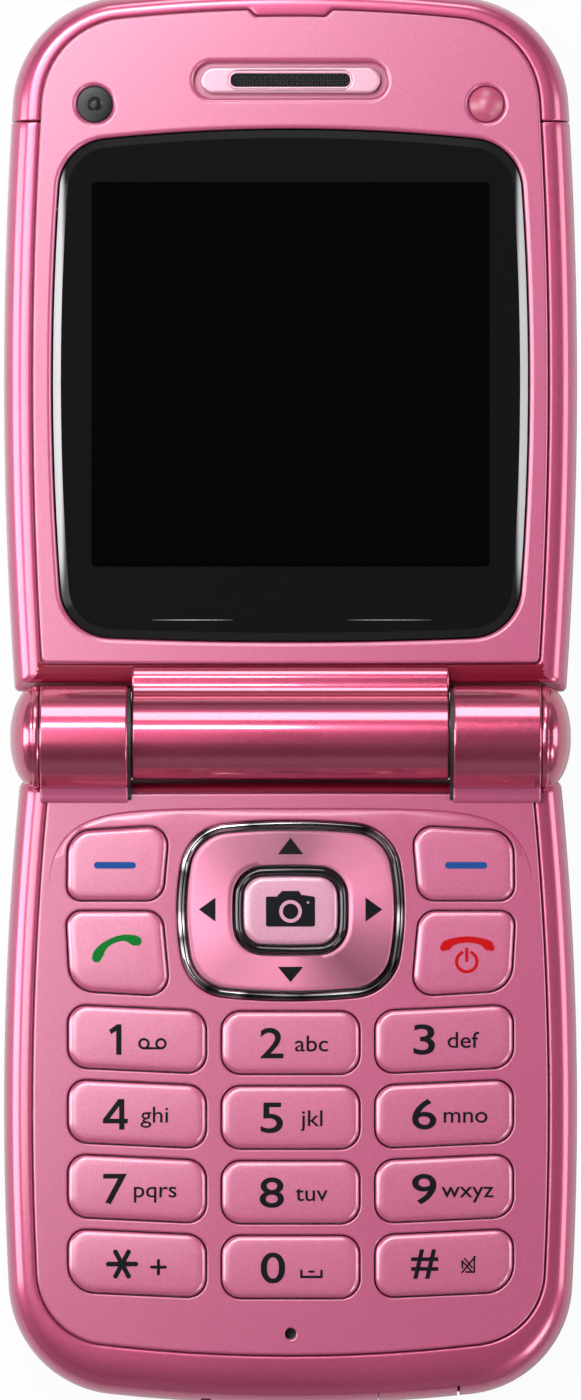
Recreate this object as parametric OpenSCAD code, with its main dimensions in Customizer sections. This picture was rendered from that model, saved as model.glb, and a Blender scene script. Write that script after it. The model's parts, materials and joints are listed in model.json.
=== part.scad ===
// Flip phone, opened flat and lying on its back.
// X runs across the phone, +Y towards the top edge of the lid and +Z out of the keypad and display.
// The origin is on the table, under the middle of the opened phone.
// Both halves are drawn with u, the distance from the hinge axis: the lid along +Y, the base along -Y.

/* [Case] */
// Width at the widest place of both halves
body_w = 52; // [50:0.5:56]
// Distance from the hinge axis to the lid's top edge
lid_reach = 67.9; // [66:0.1:72]
// Distance from the hinge axis to the base's bottom edge
base_reach = 60.5; // [60:0.1:64]
// Thickness of each half, from its back to its front face
case_t = 9.8; // [9.4:0.1:11]
// Radius of the four outer corners, seen from the front
corner_r = 10.3; // [9:0.1:11.5]
// Radius of the lid's gently bowed sides
lid_side_r = 400; // [300:10:600]
// Radius of the base's gently bowed sides
base_side_r = 300; // [250:10:600]
// Radius of the bowed top and bottom edges
end_r = 150; // [120:5:240]
// Width of the rail beside the front panels
rail_w = 2.7; // [2.3:0.1:3]
// Width of the rail above the lid's front panel
rail_top = 2.1; // [1.8:0.1:2.6]
// Width of the rail below the keypad panel
rail_bottom = 4.6; // [4:0.1:4.8]
// Thickness of both front panels
panel_t = 1.4; // [1.2:0.1:1.6]
// Width of the ledge that the front panels lie on
ledge_w = 0.9; // [0.6:0.1:1]
// How far the rail's rim stays below the front face
rim_drop = 0.25; // [0.1:0.05:0.4]
// Height of the rounding at the back edge
back_round = 4.4; // [3.6:0.1:4.6]
// How far the back edge is drawn in by its rounding
back_inset = 3.4; // [2.8:0.1:3.6]
// Gap between parts that are fitted into each other
fit_gap = 0.06; // [0.04:0.01:0.08]
// Length of the lid's top cap
cap_len = 12.2; // [11:0.1:12.8]
// Half width of the thumb tab on the top cap
tab_half_w = 3.8; // [2.5:0.1:5]
// How far the thumb tab reaches into the lid panel
tab_depth = 0.65; // [0.4:0.05:0.8]

/* [Hinge] */
// Radius of the hinge barrel
barrel_r = 4.66; // [4.5:0.02:4.8]
// Height of the hinge axis above the front faces
hinge_rise = 0.6; // [0.4:0.05:0.8]
// Gap between the barrel and the ends of both halves
barrel_gap = 0.32; // [0.25:0.01:0.4]
// Width of the middle knuckle, which belongs to the lid
middle_w = 28.7; // [27:0.1:30]
// Gap between the middle knuckle and each side knuckle
knuckle_gap = 0.35; // [0.3:0.05:0.5]
// How far the tips of the end caps stay inside the widest place
hinge_inset = 0.65; // [0.4:0.05:1]
// How far each domed end cap stands out of its knuckle
cap_dome = 2.7; // [2.2:0.1:2.8]
// Distance from the hinge axis to the lid rail's lower end
lid_end = 4; // [3.8:0.1:4.4]
// Distance from the hinge axis to the base rail's upper end
base_end = 3.83; // [3.6:0.01:4.2]
// Distance from the hinge axis to the lid panel's edge
lid_face_end = 6.65; // [6.45:0.05:6.9]
// Distance from the hinge axis to the keypad panel's edge
base_face_end = 5.06; // [5.02:0.01:5.3]
// How far the knuckles' lips stand out of the front faces
lip_rise = 0.5; // [0.3:0.05:0.6]
// Width of the lip on the middle knuckle
middle_lip = 1.27; // [1:0.01:1.4]
// How far the side knuckles' lips reach over the keypad panel
side_lip = 0.9; // [0.6:0.05:1.1]
// Length of the tang that anchors the middle knuckle in the lid
lid_tang = 5.5; // [4:0.1:6]
// Length of the tangs that anchor the side knuckles in the base
base_tang = 2.2; // [1.6:0.1:2.3]
// Radius of the cam housing in the barrel
cam_r = 3.3; // [3.1:0.05:3.5]
// Length of the cam housing
cam_len = 12; // [10:0.1:12.4]
// Wall of the cam housing
cam_wall = 0.4; // [0.3:0.05:0.5]
// Radius of the cam shaft
shaft_r = 2; // [1.6:0.05:2.2]
// Wire thickness of the cam spring
spring_wire = 0.8; // [0.6:0.05:0.9]
// Number of turns of the cam spring
spring_turns = 5; // [4:1:6]
// Outer radius of the hollow hinge tube
tube_r = 2.6; // [2.3:0.05:2.8]
// Bore radius of the hollow hinge tube
tube_bore_r = 1.9; // [1.5:0.05:2]
// Length of the hinge tube inside the middle knuckle
pivot_len = 6.2; // [5.5:0.1:6.6]
// Running gap of the hinge tube in the middle knuckle
running_gap = 0.05; // [0.03:0.01:0.08]

/* [Display] */
// Width of the lid panel beside the display lens
lens_margin = 1.8; // [1.5:0.1:2.3]
// Distance from the hinge axis to the lens's lower edge
lens_bottom = 8.7; // [8.5:0.1:9.5]
// Distance from the lid's top edge to the lens's upper edge
lens_from_top = 13; // [12.9:0.1:14]
// Corner radius of the lens
lens_corner_r = 4.6; // [3.5:0.1:5.5]
// Thickness of the lens
lens_t = 0.9; // [0.7:0.05:1]
// Black border of the lens beside the active display
screen_beside = 3.5; // [3:0.1:4.5]
// Black border of the lens above the active display
screen_above = 4.7; // [4.2:0.1:5.5]
// Black border of the lens below the active display
screen_below = 6.8; // [6.2:0.1:8]
// Border of the display module round the active area
screen_border = 1.6; // [1:0.1:1.7]
// Width of the outer display's lens on the back
outer_w = 24; // [18:0.5:28]
// Height of the outer display's lens on the back
outer_h = 15; // [10:0.5:18]
// Distance from the lid's top edge to the middle of the outer display
outer_from_top = 25.9; // [24:0.5:30]

/* [Earpiece and camera] */
// Distance from the lid's top edge to the middle of the earpiece
ear_from_top = 8.5; // [8.1:0.1:8.9]
// Length of the earpiece bezel
ear_w = 16.2; // [14:0.1:17]
// Height of the earpiece bezel
ear_h = 2.3; // [2:0.1:2.6]
// Length of the earpiece slot
slot_w = 10.8; // [9:0.1:11]
// Height of the earpiece slot
slot_h = 1.2; // [1:0.05:1.3]
// Distance from the widest place to the camera and to the bumper
corner_part_inset = 8.3; // [8:0.1:9]
// Distance from the lid's top edge to the camera and to the bumper
corner_part_from_top = 10.67; // [10.4:0.01:10.8]
// Radius of the camera lens and of the bumper
dot_r = 1.6; // [1.3:0.05:1.7]
// How far the bumper stands out of the front face
bumper_rise = 0.5; // [0.3:0.05:0.55]

/* [Keypad] */
// Width of the keypad panel beside the keys
keypad_margin = 3.22; // [3.1:0.02:3.6]
// Space between the columns of number keys
key_space_x = 1.48; // [1.3:0.02:1.8]
// Space between the rows of number keys
key_space_u = 1.16; // [1.1:0.02:1.5]
// Space between the navigation pad and the first row of number keys
keys_below_nav = 0.98; // [0.9:0.02:1.3]
// Distance from the bottom edge to the last row of number keys
keys_from_bottom = 9.75; // [9.4:0.05:10.4]
// Radius of the wide arc that the rows of number keys follow
row_arc_r = 300; // [220:10:600]
// Corner radius of the number keys
key_corner_r = 1.7; // [1.2:0.1:2]
// Radius of the keypad's two bottom corners
key_end_corner_r = 2.35; // [1.7:0.05:2.4]
// How far the keys stand out of the keypad panel
key_rise = 0.3; // [0.2:0.05:0.35]
// Radius of the crown on top of the keys
key_crown_r = 60; // [40:5:90]
// Gap round each key in the panel
key_gap = 0.14; // [0.1:0.01:0.16]
// Width of the flange that holds each key under the panel
key_flange = 0.35; // [0.25:0.01:0.36]
// Travel of each key
key_travel = 0.3; // [0.2:0.05:0.3]
// Distance from the hinge axis to the middle of the navigation pad
nav_u = 15.69; // [15.6:0.01:15.8]
// Half width of the pocket of the navigation pad
nav_half_w = 10.3; // [10:0.02:10.36]
// Half height of the pocket of the navigation pad
nav_half_h = 8.2; // [8:0.02:8.2]
// Corner radius of the pocket of the navigation pad
nav_corner_r = 4.5; // [3.8:0.1:5]
// Visible width of the chrome bezel
nav_bezel_w = 0.75; // [0.6:0.05:0.8]
// Half width of the collar round the centre key
collar_half_w = 5.1; // [4.8:0.05:5.2]
// Half height of the collar round the centre key
collar_half_h = 3.93; // [3.8:0.01:4]
// Width of the collar round the centre key
collar_w = 0.7; // [0.6:0.05:0.75]
// Gap round the rocking ring
rock_gap = 0.16; // [0.14:0.01:0.18]
// Radius of the microphone hole
mic_r = 0.5; // [0.4:0.05:0.6]
// Distance from the bottom edge to the microphone hole
mic_from_bottom = 6.52; // [6.3:0.02:6.9]
// Space between the two command keys on each side
command_space = 1; // [0.9:0.05:1.3]
// Width of the crease that arches over the keys
crease_w = 0.4; // [0.25:0.05:0.45]
// Depth of the crease
crease_depth = 0.1; // [0.05:0.01:0.15]

/* [Inside the base] */
// Thickness of the circuit boards
board_t = 0.8; // [0.6:0.05:0.8]
// Thickness of the sheet of key domes
dome_t = 0.45; // [0.3:0.05:0.45]
// Distance from the side of the battery cover to the battery
battery_inset = 1.4; // [1.3:0.1:3]
// Distance from the bottom edge to the battery
battery_from_bottom = 11; // [11:0.5:16]
// Thickness of the battery
battery_t = 4.2; // [3.5:0.1:4.2]
// Distance from the hinge axis to the battery's near edge
battery_u = 16.5; // [16:0.1:17]
// Distance from the widest place to the side of the battery cover
cover_inset = 7.6; // [7:0.1:8]
// Distance from the hinge axis to the battery cover's near edge
cover_u = 14; // [13.8:0.1:14.6]
// Thickness of the battery cover
cover_t = 1.2; // [1:0.05:1.2]
// Width of the port cover
port_w = 7.1; // [6.8:0.1:7.6]
// Space between the port cover and the rounding of the corner
port_inset = 0.6; // [0.4:0.1:1]
// Height of the port cover's upper edge above the table
port_top = 8.7; // [8:0.1:8.7]
// Distance from the middle to the strap slit in the bottom edge
slit_x = 7.65; // [6:0.05:9]
// Width of the strap slit
slit_w = 0.9; // [0.7:0.1:1.2]
// Distance from the hinge axis to the middle of the loudspeaker and of the motor
speaker_u = 9.6; // [9.4:0.1:9.8]
// Distance from the widest place to the case screws
screw_inset = 4.9; // [4.85:0.05:5]
// Radius of the case screws' threads
screw_r = 0.45; // [0.4:0.05:0.5]
// Half length of the volume key
volume_half = 7; // [5:0.5:8]
// Distance from the hinge axis to the middle of the volume key
volume_u = 27; // [24:0.5:30]

/* [Hidden] */

PINK = "#e4789f";
DEEP_PINK = "#c8507e";
CHROME = "#c9c9ce";
DARK_CHROME = "#3c3c40";
BLACK_GLASS = "#0c0c0e";
STEEL = "#a8aab0";
BOARD_GREEN = "#1f6b45";
GOLD = "#c9a04a";
BLACK_PLASTIC = "#1c1c1f";

// Places that follow from the sizes above
half_w = body_w / 2;
hinge_y = (base_reach - lid_reach) / 2;
axis_z = case_t + hinge_rise;
clear_r = barrel_r + barrel_gap;
panel_z = case_t - panel_t;
rim_z = case_t - rim_drop;
front_round = rim_z - back_round - 1.2;
middle_x = middle_w / 2;
side_x0 = middle_x + knuckle_gap;
side_x1 = half_w - hinge_inset - cap_dome;
side_w = side_x1 - side_x0;
lid_side_u = lid_reach - 35.6;
base_side_u = base_reach - 26.8;
cap_seam = lid_reach - cap_len;
lens_half_w = half_w - rail_w - lens_margin;
lens_top = lid_reach - lens_from_top;
screen_w = 2 * (lens_half_w - screen_beside);
screen_h = lens_top - lens_bottom - screen_above - screen_below;
screen_u = lens_bottom + screen_below + screen_h / 2;
outer_u = lid_reach - outer_from_top;
ear_u = lid_reach - ear_from_top;
corner_part_x = half_w - corner_part_inset;
corner_part_u = lid_reach - corner_part_from_top;
keys_half_w = half_w - rail_w - keypad_margin;
key_w = (2 * keys_half_w - 2 * key_space_x) / 3;
key_pitch_x = key_w + key_space_x;
keys_top = nav_u + nav_half_h + keys_below_nav;
keys_end = base_reach - keys_from_bottom;
key_pitch_u = (keys_end - keys_top + key_space_u) / 4;
key_h = key_pitch_u - key_space_u;
first_row_u = keys_top + key_h / 2;
mic_u = base_reach - mic_from_bottom;
cover_half_w = half_w - cover_inset;
battery_w = 2 * (cover_half_w - battery_inset);
battery_h = base_reach - battery_from_bottom - battery_u;
port_x1 = half_w - corner_r - port_inset;
port_x0 = port_x1 - port_w;
screw_x = half_w - screw_inset;
antenna_half_w = half_w - 13;
lid_floor = 1.6;
lid_board_z = 3.6;
display_z = lid_board_z + board_t;
base_floor = panel_z - 2.4;
dome_z = base_floor + board_t;
dome_top = dome_z + dome_t;
key_z = dome_top + key_travel + 0.05;
flange_top = panel_z - 0.03;
key_top = case_t + key_rise;
tang_z = 5.5;
boss_r = 0.85;
lid_boards_half_w = screw_x - boss_r - 0.45;
base_boards_half_w = screw_x - boss_r - 0.15;
lid_screw_us = [lens_bottom + 11.3, lens_top - 6.9];
base_screw_us = [keys_top - boss_r, first_row_u + 2.5 * key_pitch_u - smile(screw_x)];
round_fn = 48;

// ---- Outlines -------------------------------------------------------------

// The right-hand crossing of two circles, s with radius a and t with radius b
function crossing(s, a, t, b) =
    let (
        d = t - s,
        l = norm(d),
        x = (a * a - b * b + l * l) / (2 * l),
        h = sqrt(max(0, a * a - x * x)),
        e = d / l,
        p = s + x * e,
        q = [e.y, -e.x] * h
    )
    (p + q).x > (p - q).x ? p + q : p - q;

// Points on an arc, without its first one
function arc(c, r, a0, a1, n) = [for (i = [1:n]) c + r * [cos(a0 + (a1 - a0) * i / n), sin(a0 + (a1 - a0) * i / n)]];

// A closed outline with bowed sides and ends and round corners, symmetric about x = 0.
// rs, rt and rb are the radii of the sides, the far end and the near end, rct and rcb of the corners.
function bowed(hw, top, bottom, side_u, rs, rt, rb, rct, rcb, n = [2, 3, 6, 7, 4]) =
    let (
        s = [hw - rs, side_u],
        t = [0, top - rt],
        b = [0, bottom + rb],
        ct = crossing(s, rs - rct, t, rt - rct),
        bm = crossing([s.x, -s.y], rs - rcb, [0, -b.y], rb - rcb),
        cb = [bm.x, -bm.y],
        b_end = atan2(cb.y - b.y, cb.x - b.x),
        s_start = atan2(cb.y - s.y, cb.x - s.x),
        s_end = atan2(ct.y - s.y, ct.x - s.x),
        t_start = atan2(ct.y - t.y, ct.x - t.x),
        right = concat(
            arc(b, rb, -90, b_end, n[0]),
            arc(cb, rcb, b_end, s_start, n[1]),
            arc(s, rs, s_start, s_end, n[2]),
            arc(ct, rct, s_end, t_start, n[3]),
            arc(t, rt, t_start, 90, n[4])
        ),
        m = len(right)
    )
    concat([[0, bottom]], right, [for (i = [m - 2:-1:0]) [-right[i].x, right[i].y]]);

// A polygon whose corners are rounded, each with its own radius
function rounded(corners, radii, n = 5) =
    let (m = len(corners))
    [
        for (i = [0:m - 1])
            let (
                p = corners[i],
                a = corners[(i + m - 1) % m] - p,
                b = corners[(i + 1) % m] - p,
                ua = a / norm(a),
                ub = b / norm(b),
                half = acos(ua * ub) / 2,
                c = p + (ua + ub) / norm(ua + ub) * radii[i] / sin(half),
                a0 = atan2(-(ua - ub * (ua * ub)).y, -(ua - ub * (ua * ub)).x),
                start = atan2((p + ua * radii[i] / tan(half) - c).y, (p + ua * radii[i] / tan(half) - c).x),
                turn = 180 - 2 * half
            )
            for (k = [0:n]) c + radii[i] * [cos(start + turn * k / n), sin(start + turn * k / n)]
    ];

function box_corners(hw, hh) = [[-hw, -hh], [hw, -hh], [hw, hh], [-hw, hh]];
function pill(hw, hh, r, n = 5) = rounded(box_corners(hw, hh), [r, r, r, r], n);
function shifted(points, by) = [for (p = points) p + by];

// How far the rows of number keys have risen at a distance x from the middle
function smile(x) = x * x / (2 * row_arc_r);

// Outlines of the two halves, drawn in by side, far and near insets
function lid_outline(side, far, near_u) = bowed(
    half_w - side, lid_reach - far, near_u, lid_side_u, lid_side_r - side, end_r - far, 3000,
    corner_r - (side + far) / 2, 1.5);
function base_outline(side, far, near_u) = bowed(
    half_w - side, base_reach - far, near_u, base_side_u, base_side_r - side, end_r - far, 3000,
    corner_r - (side + far) / 2, 0.8);
function lid_panel_outline(inset = 0) = lid_outline(rail_w + inset, rail_top + inset, lid_face_end + inset);
function base_panel_outline(inset = 0) = base_outline(rail_w + inset, rail_bottom + inset, base_face_end + inset);

// Near end of a half at height z: it stays clear of the turning barrel
function near_end(end, z) = max(end, sqrt(max(0, clear_r * clear_r - (axis_z - z) * (axis_z - z))));

// Rising steps of the outside: [share of the inset drawn in, height]
back_steps = [for (i = [0:4]) let (a = 90 - 22.5 * i) [1 - cos(a), back_round * (1 - sin(a))]];
front_steps = [for (i = [0:5]) let (a = 18 * i) [1 - cos(a), rim_z - front_round * (1 - sin(a))]];

function level(points, z) = [for (p = points) [p.x, p.y, z]];

// ---- Shapes ---------------------------------------------------------------

// A skin over rings of equally many points, closed by flat caps at both ends
module skin(rings) {
    n = len(rings[0]);
    m = len(rings);
    polyhedron(
        [for (r = rings) each r],
        concat(
            [[for (i = [0:n - 1]) i]],
            [
                for (k = [0:m - 2]) for (i = [0:n - 1]) let (j = (i + 1) % n)
                    each [[k * n + i, k * n + n + i, k * n + n + j], [k * n + i, k * n + n + j, k * n + j]]
            ],
            [[for (i = [n - 1:-1:0]) (m - 1) * n + i]]
        ),
        convexity = 8
    );
}

module on_lid() translate([0, hinge_y, 0]) children();
module on_base() translate([0, hinge_y, 0]) mirror([0, 1, 0]) children();
module plate(z0, z1) translate([0, 0, z0]) linear_extrude(z1 - z0) children();
module both_sides() {
    children();
    mirror([1, 0, 0]) children();
}
// A box between two corners
module block(low, high) translate(low) cube(high - low);
// A cylinder along X from x0 to x1, on the hinge axis
module barrel(x0, x1, r) translate([x0, 0, axis_z]) rotate([0, 90, 0]) cylinder(h = x1 - x0, r = r, $fn = round_fn);
module post(x, u, z0, z1, r) translate([x, u, z0]) cylinder(h = z1 - z0, r = r, $fn = round_fn);

// A wide cylinder whose top gives a piece at u its crown, r in radius and highest at z
module crown(u, z, r) translate([0, u, z - r]) rotate([0, 90, 0])
    cylinder(h = body_w, r = r, center = true, $fn = 360);

// Rings of the lid's outside, from the back to the rim
lid_outside = concat(
    [for (s = back_steps) level(lid_outline(back_inset * s[0], back_inset * s[0], lid_end + 0.9 * s[0]), s[1])],
    [
        for (s = front_steps)
            level(lid_outline(
                (rail_w - 0.1) * s[0], (rail_top - 0.1) * s[0], near_end(lid_end + 2 * s[0], s[1])), s[1])
    ]
);
// Rings of the lid's inside, from the rim down to the floor
lid_inside = [
    level(lid_panel_outline(-fit_gap), rim_z),
    level(lid_panel_outline(-fit_gap), panel_z),
    level(lid_panel_outline(ledge_w), panel_z),
    level(lid_panel_outline(ledge_w + 0.1), lid_floor + 1),
    level(lid_panel_outline(ledge_w + 1), lid_floor)
];
base_outside = concat(
    [for (s = back_steps) level(base_outline(back_inset * s[0], back_inset * s[0], base_end + 0.9 * s[0]), s[1])],
    [
        for (s = front_steps)
            level(base_outline(
                (rail_w - 0.1) * s[0], (rail_bottom - 0.1) * s[0], near_end(base_end, s[1])), s[1])
    ]
);
base_inside = [
    level(base_panel_outline(-fit_gap), rim_z),
    level(base_panel_outline(-fit_gap), panel_z),
    level(base_panel_outline(ledge_w), panel_z),
    level(base_panel_outline(ledge_w + 0.1), base_floor)
];

module lid_tray() skin(concat(lid_outside, lid_inside));
module base_tray() skin(concat(base_outside, base_inside));
module base_block() skin(base_outside);

// ---- Lid ------------------------------------------------------------------

module lid_screw_cuts() for (u = lid_screw_us) both_sides() {
    post(screw_x, u, -1, lid_floor + 2, screw_r + fit_gap);
    post(screw_x, u, -1, 0.8, 1.05);
}

module lid_rear_shell() color(PINK) on_lid() difference() {
    intersection() {
        lid_tray();
        block([-half_w - 1, 0, -1], [half_w + 1, cap_seam, case_t]);
    }
    block([-middle_x - fit_gap, 0, tang_z], [middle_x + fit_gap, lid_face_end + lid_tang, case_t]);
    translate([0, outer_u, 0]) {
        plate(-1, 0.8) polygon(pill(outer_w / 2 + fit_gap, outer_h / 2 + fit_gap, 2));
        plate(-1, lid_floor + 1) polygon(pill(outer_w / 2 - 1, outer_h / 2 - 1, 1.2));
    }
    lid_screw_cuts();
}

// Outline of the thumb tab, which widens towards the top edge
function tab_outline(gap) = [
    [-tab_half_w + tab_depth - gap, lid_reach - rail_top - tab_depth - gap],
    [tab_half_w - tab_depth + gap, lid_reach - rail_top - tab_depth - gap],
    [tab_half_w + gap, lid_reach - rail_top + 0.2],
    [-tab_half_w - gap, lid_reach - rail_top + 0.2]
];

module lid_top_cap() color(PINK) on_lid() {
    intersection() {
        lid_tray();
        block([-half_w - 1, cap_seam + fit_gap, -1], [half_w + 1, lid_reach + 1, case_t]);
    }
    plate(panel_z, rim_z) polygon(tab_outline(0));
}

function lens_outline(inset) = bowed(
    lens_half_w - inset, lens_top - inset, lens_bottom + inset, lid_side_u, 250 - inset,
    160 - inset, 390, lens_corner_r - inset, lens_corner_r - inset, [3, 6, 5, 6, 4]);

module lid_front_panel() color(PINK) on_lid() {
    difference() {
        plate(panel_z, case_t) difference() {
            polygon(lid_panel_outline());
            polygon(tab_outline(fit_gap));
        }
        plate(case_t - lens_t - 0.05, case_t + 1) polygon(lens_outline(-0.1));
        plate(panel_z - 1, case_t) translate([0, screen_u])
            polygon(pill(screen_w / 2 + 0.6, screen_h / 2 + 0.6, 1));
        translate([0, ear_u, 0]) {
            plate(case_t - 0.4, case_t + 1) polygon(pill(ear_w / 2 + 0.6, ear_h / 2 + 0.6, ear_h / 2 + 0.5, 8));
            plate(panel_z - 1, case_t) polygon(pill(slot_w / 2 + 0.5, slot_h / 2 + 0.4, slot_h / 2 + 0.3, 8));
        }
        both_sides() {
            post(corner_part_x, corner_part_u, case_t - 0.5, case_t + 1, dot_r + 0.4);
            post(corner_part_x, corner_part_u, panel_z - 1, case_t, dot_r + fit_gap);
        }
    }
    for (u = lid_screw_us) both_sides() difference() {
        post(screw_x, u, lid_floor + 1.1, panel_z, boss_r);
        post(screw_x, u, lid_floor, panel_z - 0.5, screw_r + fit_gap);
    }
}

module display_lens() color(BLACK_GLASS) on_lid() plate(case_t - lens_t - 0.05, case_t - 0.05)
    polygon(lens_outline(0));

module main_display() color(BLACK_PLASTIC) on_lid() translate([0, screen_u, 0]) {
    plate(display_z, panel_z) polygon(pill(screen_w / 2 + screen_border, screen_h / 2 + screen_border + 1.5, 1));
    plate(panel_z, panel_z + 0.4) polygon(pill(screen_w / 2, screen_h / 2, 0.4));
}

module earpiece_bezel() color(CHROME) on_lid() translate([0, ear_u, 0]) difference() {
    union() {
        plate(case_t - 0.4, case_t + 0.1) polygon(pill(ear_w / 2, ear_h / 2, ear_h / 2 - 0.05, 8));
        plate(panel_z, case_t - 0.4)
            polygon(pill(slot_w / 2 + 0.5 - fit_gap, slot_h / 2 + 0.4 - fit_gap, slot_h / 2 + 0.2, 8));
    }
    plate(panel_z - 1, case_t + 1) polygon(pill(slot_w / 2, slot_h / 2, slot_h / 2 - 0.05, 8));
}

module earpiece_mesh() color(DARK_CHROME) on_lid() translate([0, ear_u, 0]) difference() {
    plate(panel_z, case_t - 0.5) polygon(pill(slot_w / 2 - fit_gap, slot_h / 2 - fit_gap, slot_h / 2 - 0.15, 8));
    for (i = [-11:11]) for (j = [-0.32, 0, 0.32])
        block([i * 0.44 - 0.12, j - 0.1, case_t - 0.8], [i * 0.44 + 0.12, j + 0.1, case_t]);
}

module earpiece_speaker() color(BLACK_PLASTIC) on_lid() translate([0, ear_u - 0.6, 0]) {
    plate(display_z, panel_z - 0.5) polygon(pill(slot_w / 2 + 1.6, 2.9, 1.2));
    plate(panel_z - 0.5, panel_z) polygon(pill(slot_w / 2, 1.4, 0.7));
}

module camera_lens() color(BLACK_GLASS) on_lid() {
    post(-corner_part_x, corner_part_u, panel_z, case_t - 0.35, dot_r);
}

module camera_module() color(BLACK_PLASTIC) on_lid() {
    block([-corner_part_x - 2.2, corner_part_u - 2.5, display_z],
        [-corner_part_x + 2.8, corner_part_u + 2.5, display_z + 1.6]);
    post(-corner_part_x, corner_part_u, display_z + 1.6, panel_z, 2);
}

module bumper_pad() color(DEEP_PINK) on_lid() {
    dome_h = bumper_rise + 0.3;
    dome_r = (dot_r * dot_r + dome_h * dome_h) / (2 * dome_h);
    post(corner_part_x, corner_part_u, panel_z, case_t - 0.3, dot_r);
    intersection() {
        post(corner_part_x, corner_part_u, case_t - 0.3, case_t + 1, dot_r);
        translate([corner_part_x, corner_part_u, case_t + bumper_rise - dome_r]) sphere(r = dome_r, $fn = 48);
    }
}

module lid_circuit_board() color(BOARD_GREEN) on_lid() plate(lid_board_z, display_z) intersection() {
    polygon(pill_between(lid_boards_half_w, lid_face_end + lid_tang + 0.6, lid_reach - 4.4, 3));
    polygon(lid_panel_outline(ledge_w + 0.3));
}

// A rounded rectangle between two distances from the hinge axis
function pill_between(hw, u0, u1, r) = shifted(pill(hw, (u1 - u0) / 2, r), [0, (u0 + u1) / 2]);

module outer_display_lens() color(BLACK_GLASS) on_lid() translate([0, outer_u, 0])
    plate(0, 0.75) polygon(pill(outer_w / 2, outer_h / 2, 2));

module outer_display() color(BLACK_PLASTIC) on_lid() translate([0, outer_u, 0]) {
    plate(lid_floor, lid_board_z) polygon(pill(outer_w / 2 + 1, outer_h / 2 + 1, 0.8));
    plate(0.8, lid_floor) polygon(pill(outer_w / 2 - 1.2, outer_h / 2 - 1.2, 1));
}

// A bent aerial strip on the floor under the top cap
module lid_antenna() color(GOLD) on_lid() plate(lid_floor, lid_board_z) difference() {
    polygon(pill_between(antenna_half_w, cap_seam + 2.2, lid_reach - 5.6, 1));
    for (x = [-0.7:0.45:0.7]) translate([x * antenna_half_w, cap_seam + 2]) square([1.2, (cap_len - 7.8) * 0.7]);
}

// A pan-head screw that points to the front
module screw(u, head_z, tip_z) {
    post(screw_x, u, head_z, head_z + 0.4, 0.95);
    post(screw_x, u, head_z + 0.4, tip_z, screw_r);
}

module lid_screws() color(STEEL) on_lid() for (u = lid_screw_us) both_sides() screw(u, 0.4, panel_z - 1);

// ---- Hinge ----------------------------------------------------------------

// Middle knuckle: barrel, neck, lip on the lid's face and tang inside the lid
module hinge_barrel() color(PINK) on_lid() difference() {
    union() {
        barrel(-middle_x, middle_x, barrel_r);
        translate([-middle_x, 0, 0]) rotate([90, 0, 90]) linear_extrude(middle_w) polygon([
            [1.5, axis_z - 2.5], [lid_end, tang_z], [lid_face_end + lid_tang - 0.1, tang_z],
            [lid_face_end + lid_tang - 0.1, panel_z], [lid_face_end - fit_gap, panel_z],
            [lid_face_end - fit_gap, case_t + lip_rise - 0.2], [lid_face_end - 0.2 - fit_gap, case_t + lip_rise],
            [lid_face_end - middle_lip, case_t + lip_rise], [lid_face_end - middle_lip - 0.25, case_t],
            [1.5, case_t]
        ]);
    }
    barrel(-middle_x - 1, -middle_x + cam_len + fit_gap, cam_r + fit_gap);
    barrel(-middle_x + cam_len - 0.1, middle_x - pivot_len - 0.1, cam_r - 0.3);
    barrel(middle_x - pivot_len - 0.2, middle_x + 1, tube_r + running_gap);
}

module hinge_cam_housing() color(STEEL) on_lid() difference() {
    barrel(-middle_x, -middle_x + cam_len, cam_r);
    barrel(-middle_x + 0.5, -middle_x + cam_len - cam_wall, cam_r - cam_wall);
    barrel(-middle_x - 1, -middle_x + 1, shaft_r + running_gap);
}

// Compression spring behind the cam, wound as one wire
spring_x0 = -middle_x + 4;
spring_x1 = -middle_x + cam_len - cam_wall;
spring_r = cam_r - cam_wall - spring_wire / 2 - 0.1;
spring_steps = 12 * spring_turns;
function spring_ring(i) =
    let (
        a = 30 * i,
        x = spring_x0 + spring_wire / 2 + (spring_x1 - spring_x0 - spring_wire) * i / spring_steps
    )
    [
        for (k = [0:5])
            let (
                r = spring_r + spring_wire / 2 * cos(60 * k),
                dx = spring_wire / 2 * sin(60 * k)
            )
            [x + dx, r * cos(a), axis_z + r * sin(a)]
    ];

module hinge_spring() color(STEEL) on_lid() skin([for (i = [0:spring_steps]) spring_ring(i)]);

// Flat cable rolled up inside the barrel
module flex_cable() color("#b5651d") on_lid() {
    roll_r = cam_r - 0.45;
    turns = 2;
    steps = 24 * turns;
    outer = [for (i = [0:steps]) let (a = 15 * i) (roll_r - 0.5 * i / 24) * [cos(a), sin(a)]];
    inner = [for (i = [steps:-1:0]) let (a = 15 * i) (roll_r - 0.14 - 0.5 * i / 24) * [cos(a), sin(a)]];
    translate([-middle_x + cam_len + 0.5, 0, axis_z]) rotate([90, 0, 90])
        linear_extrude(middle_w - cam_len - pivot_len - 1.1) polygon(concat(outer, inner));
}

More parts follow.
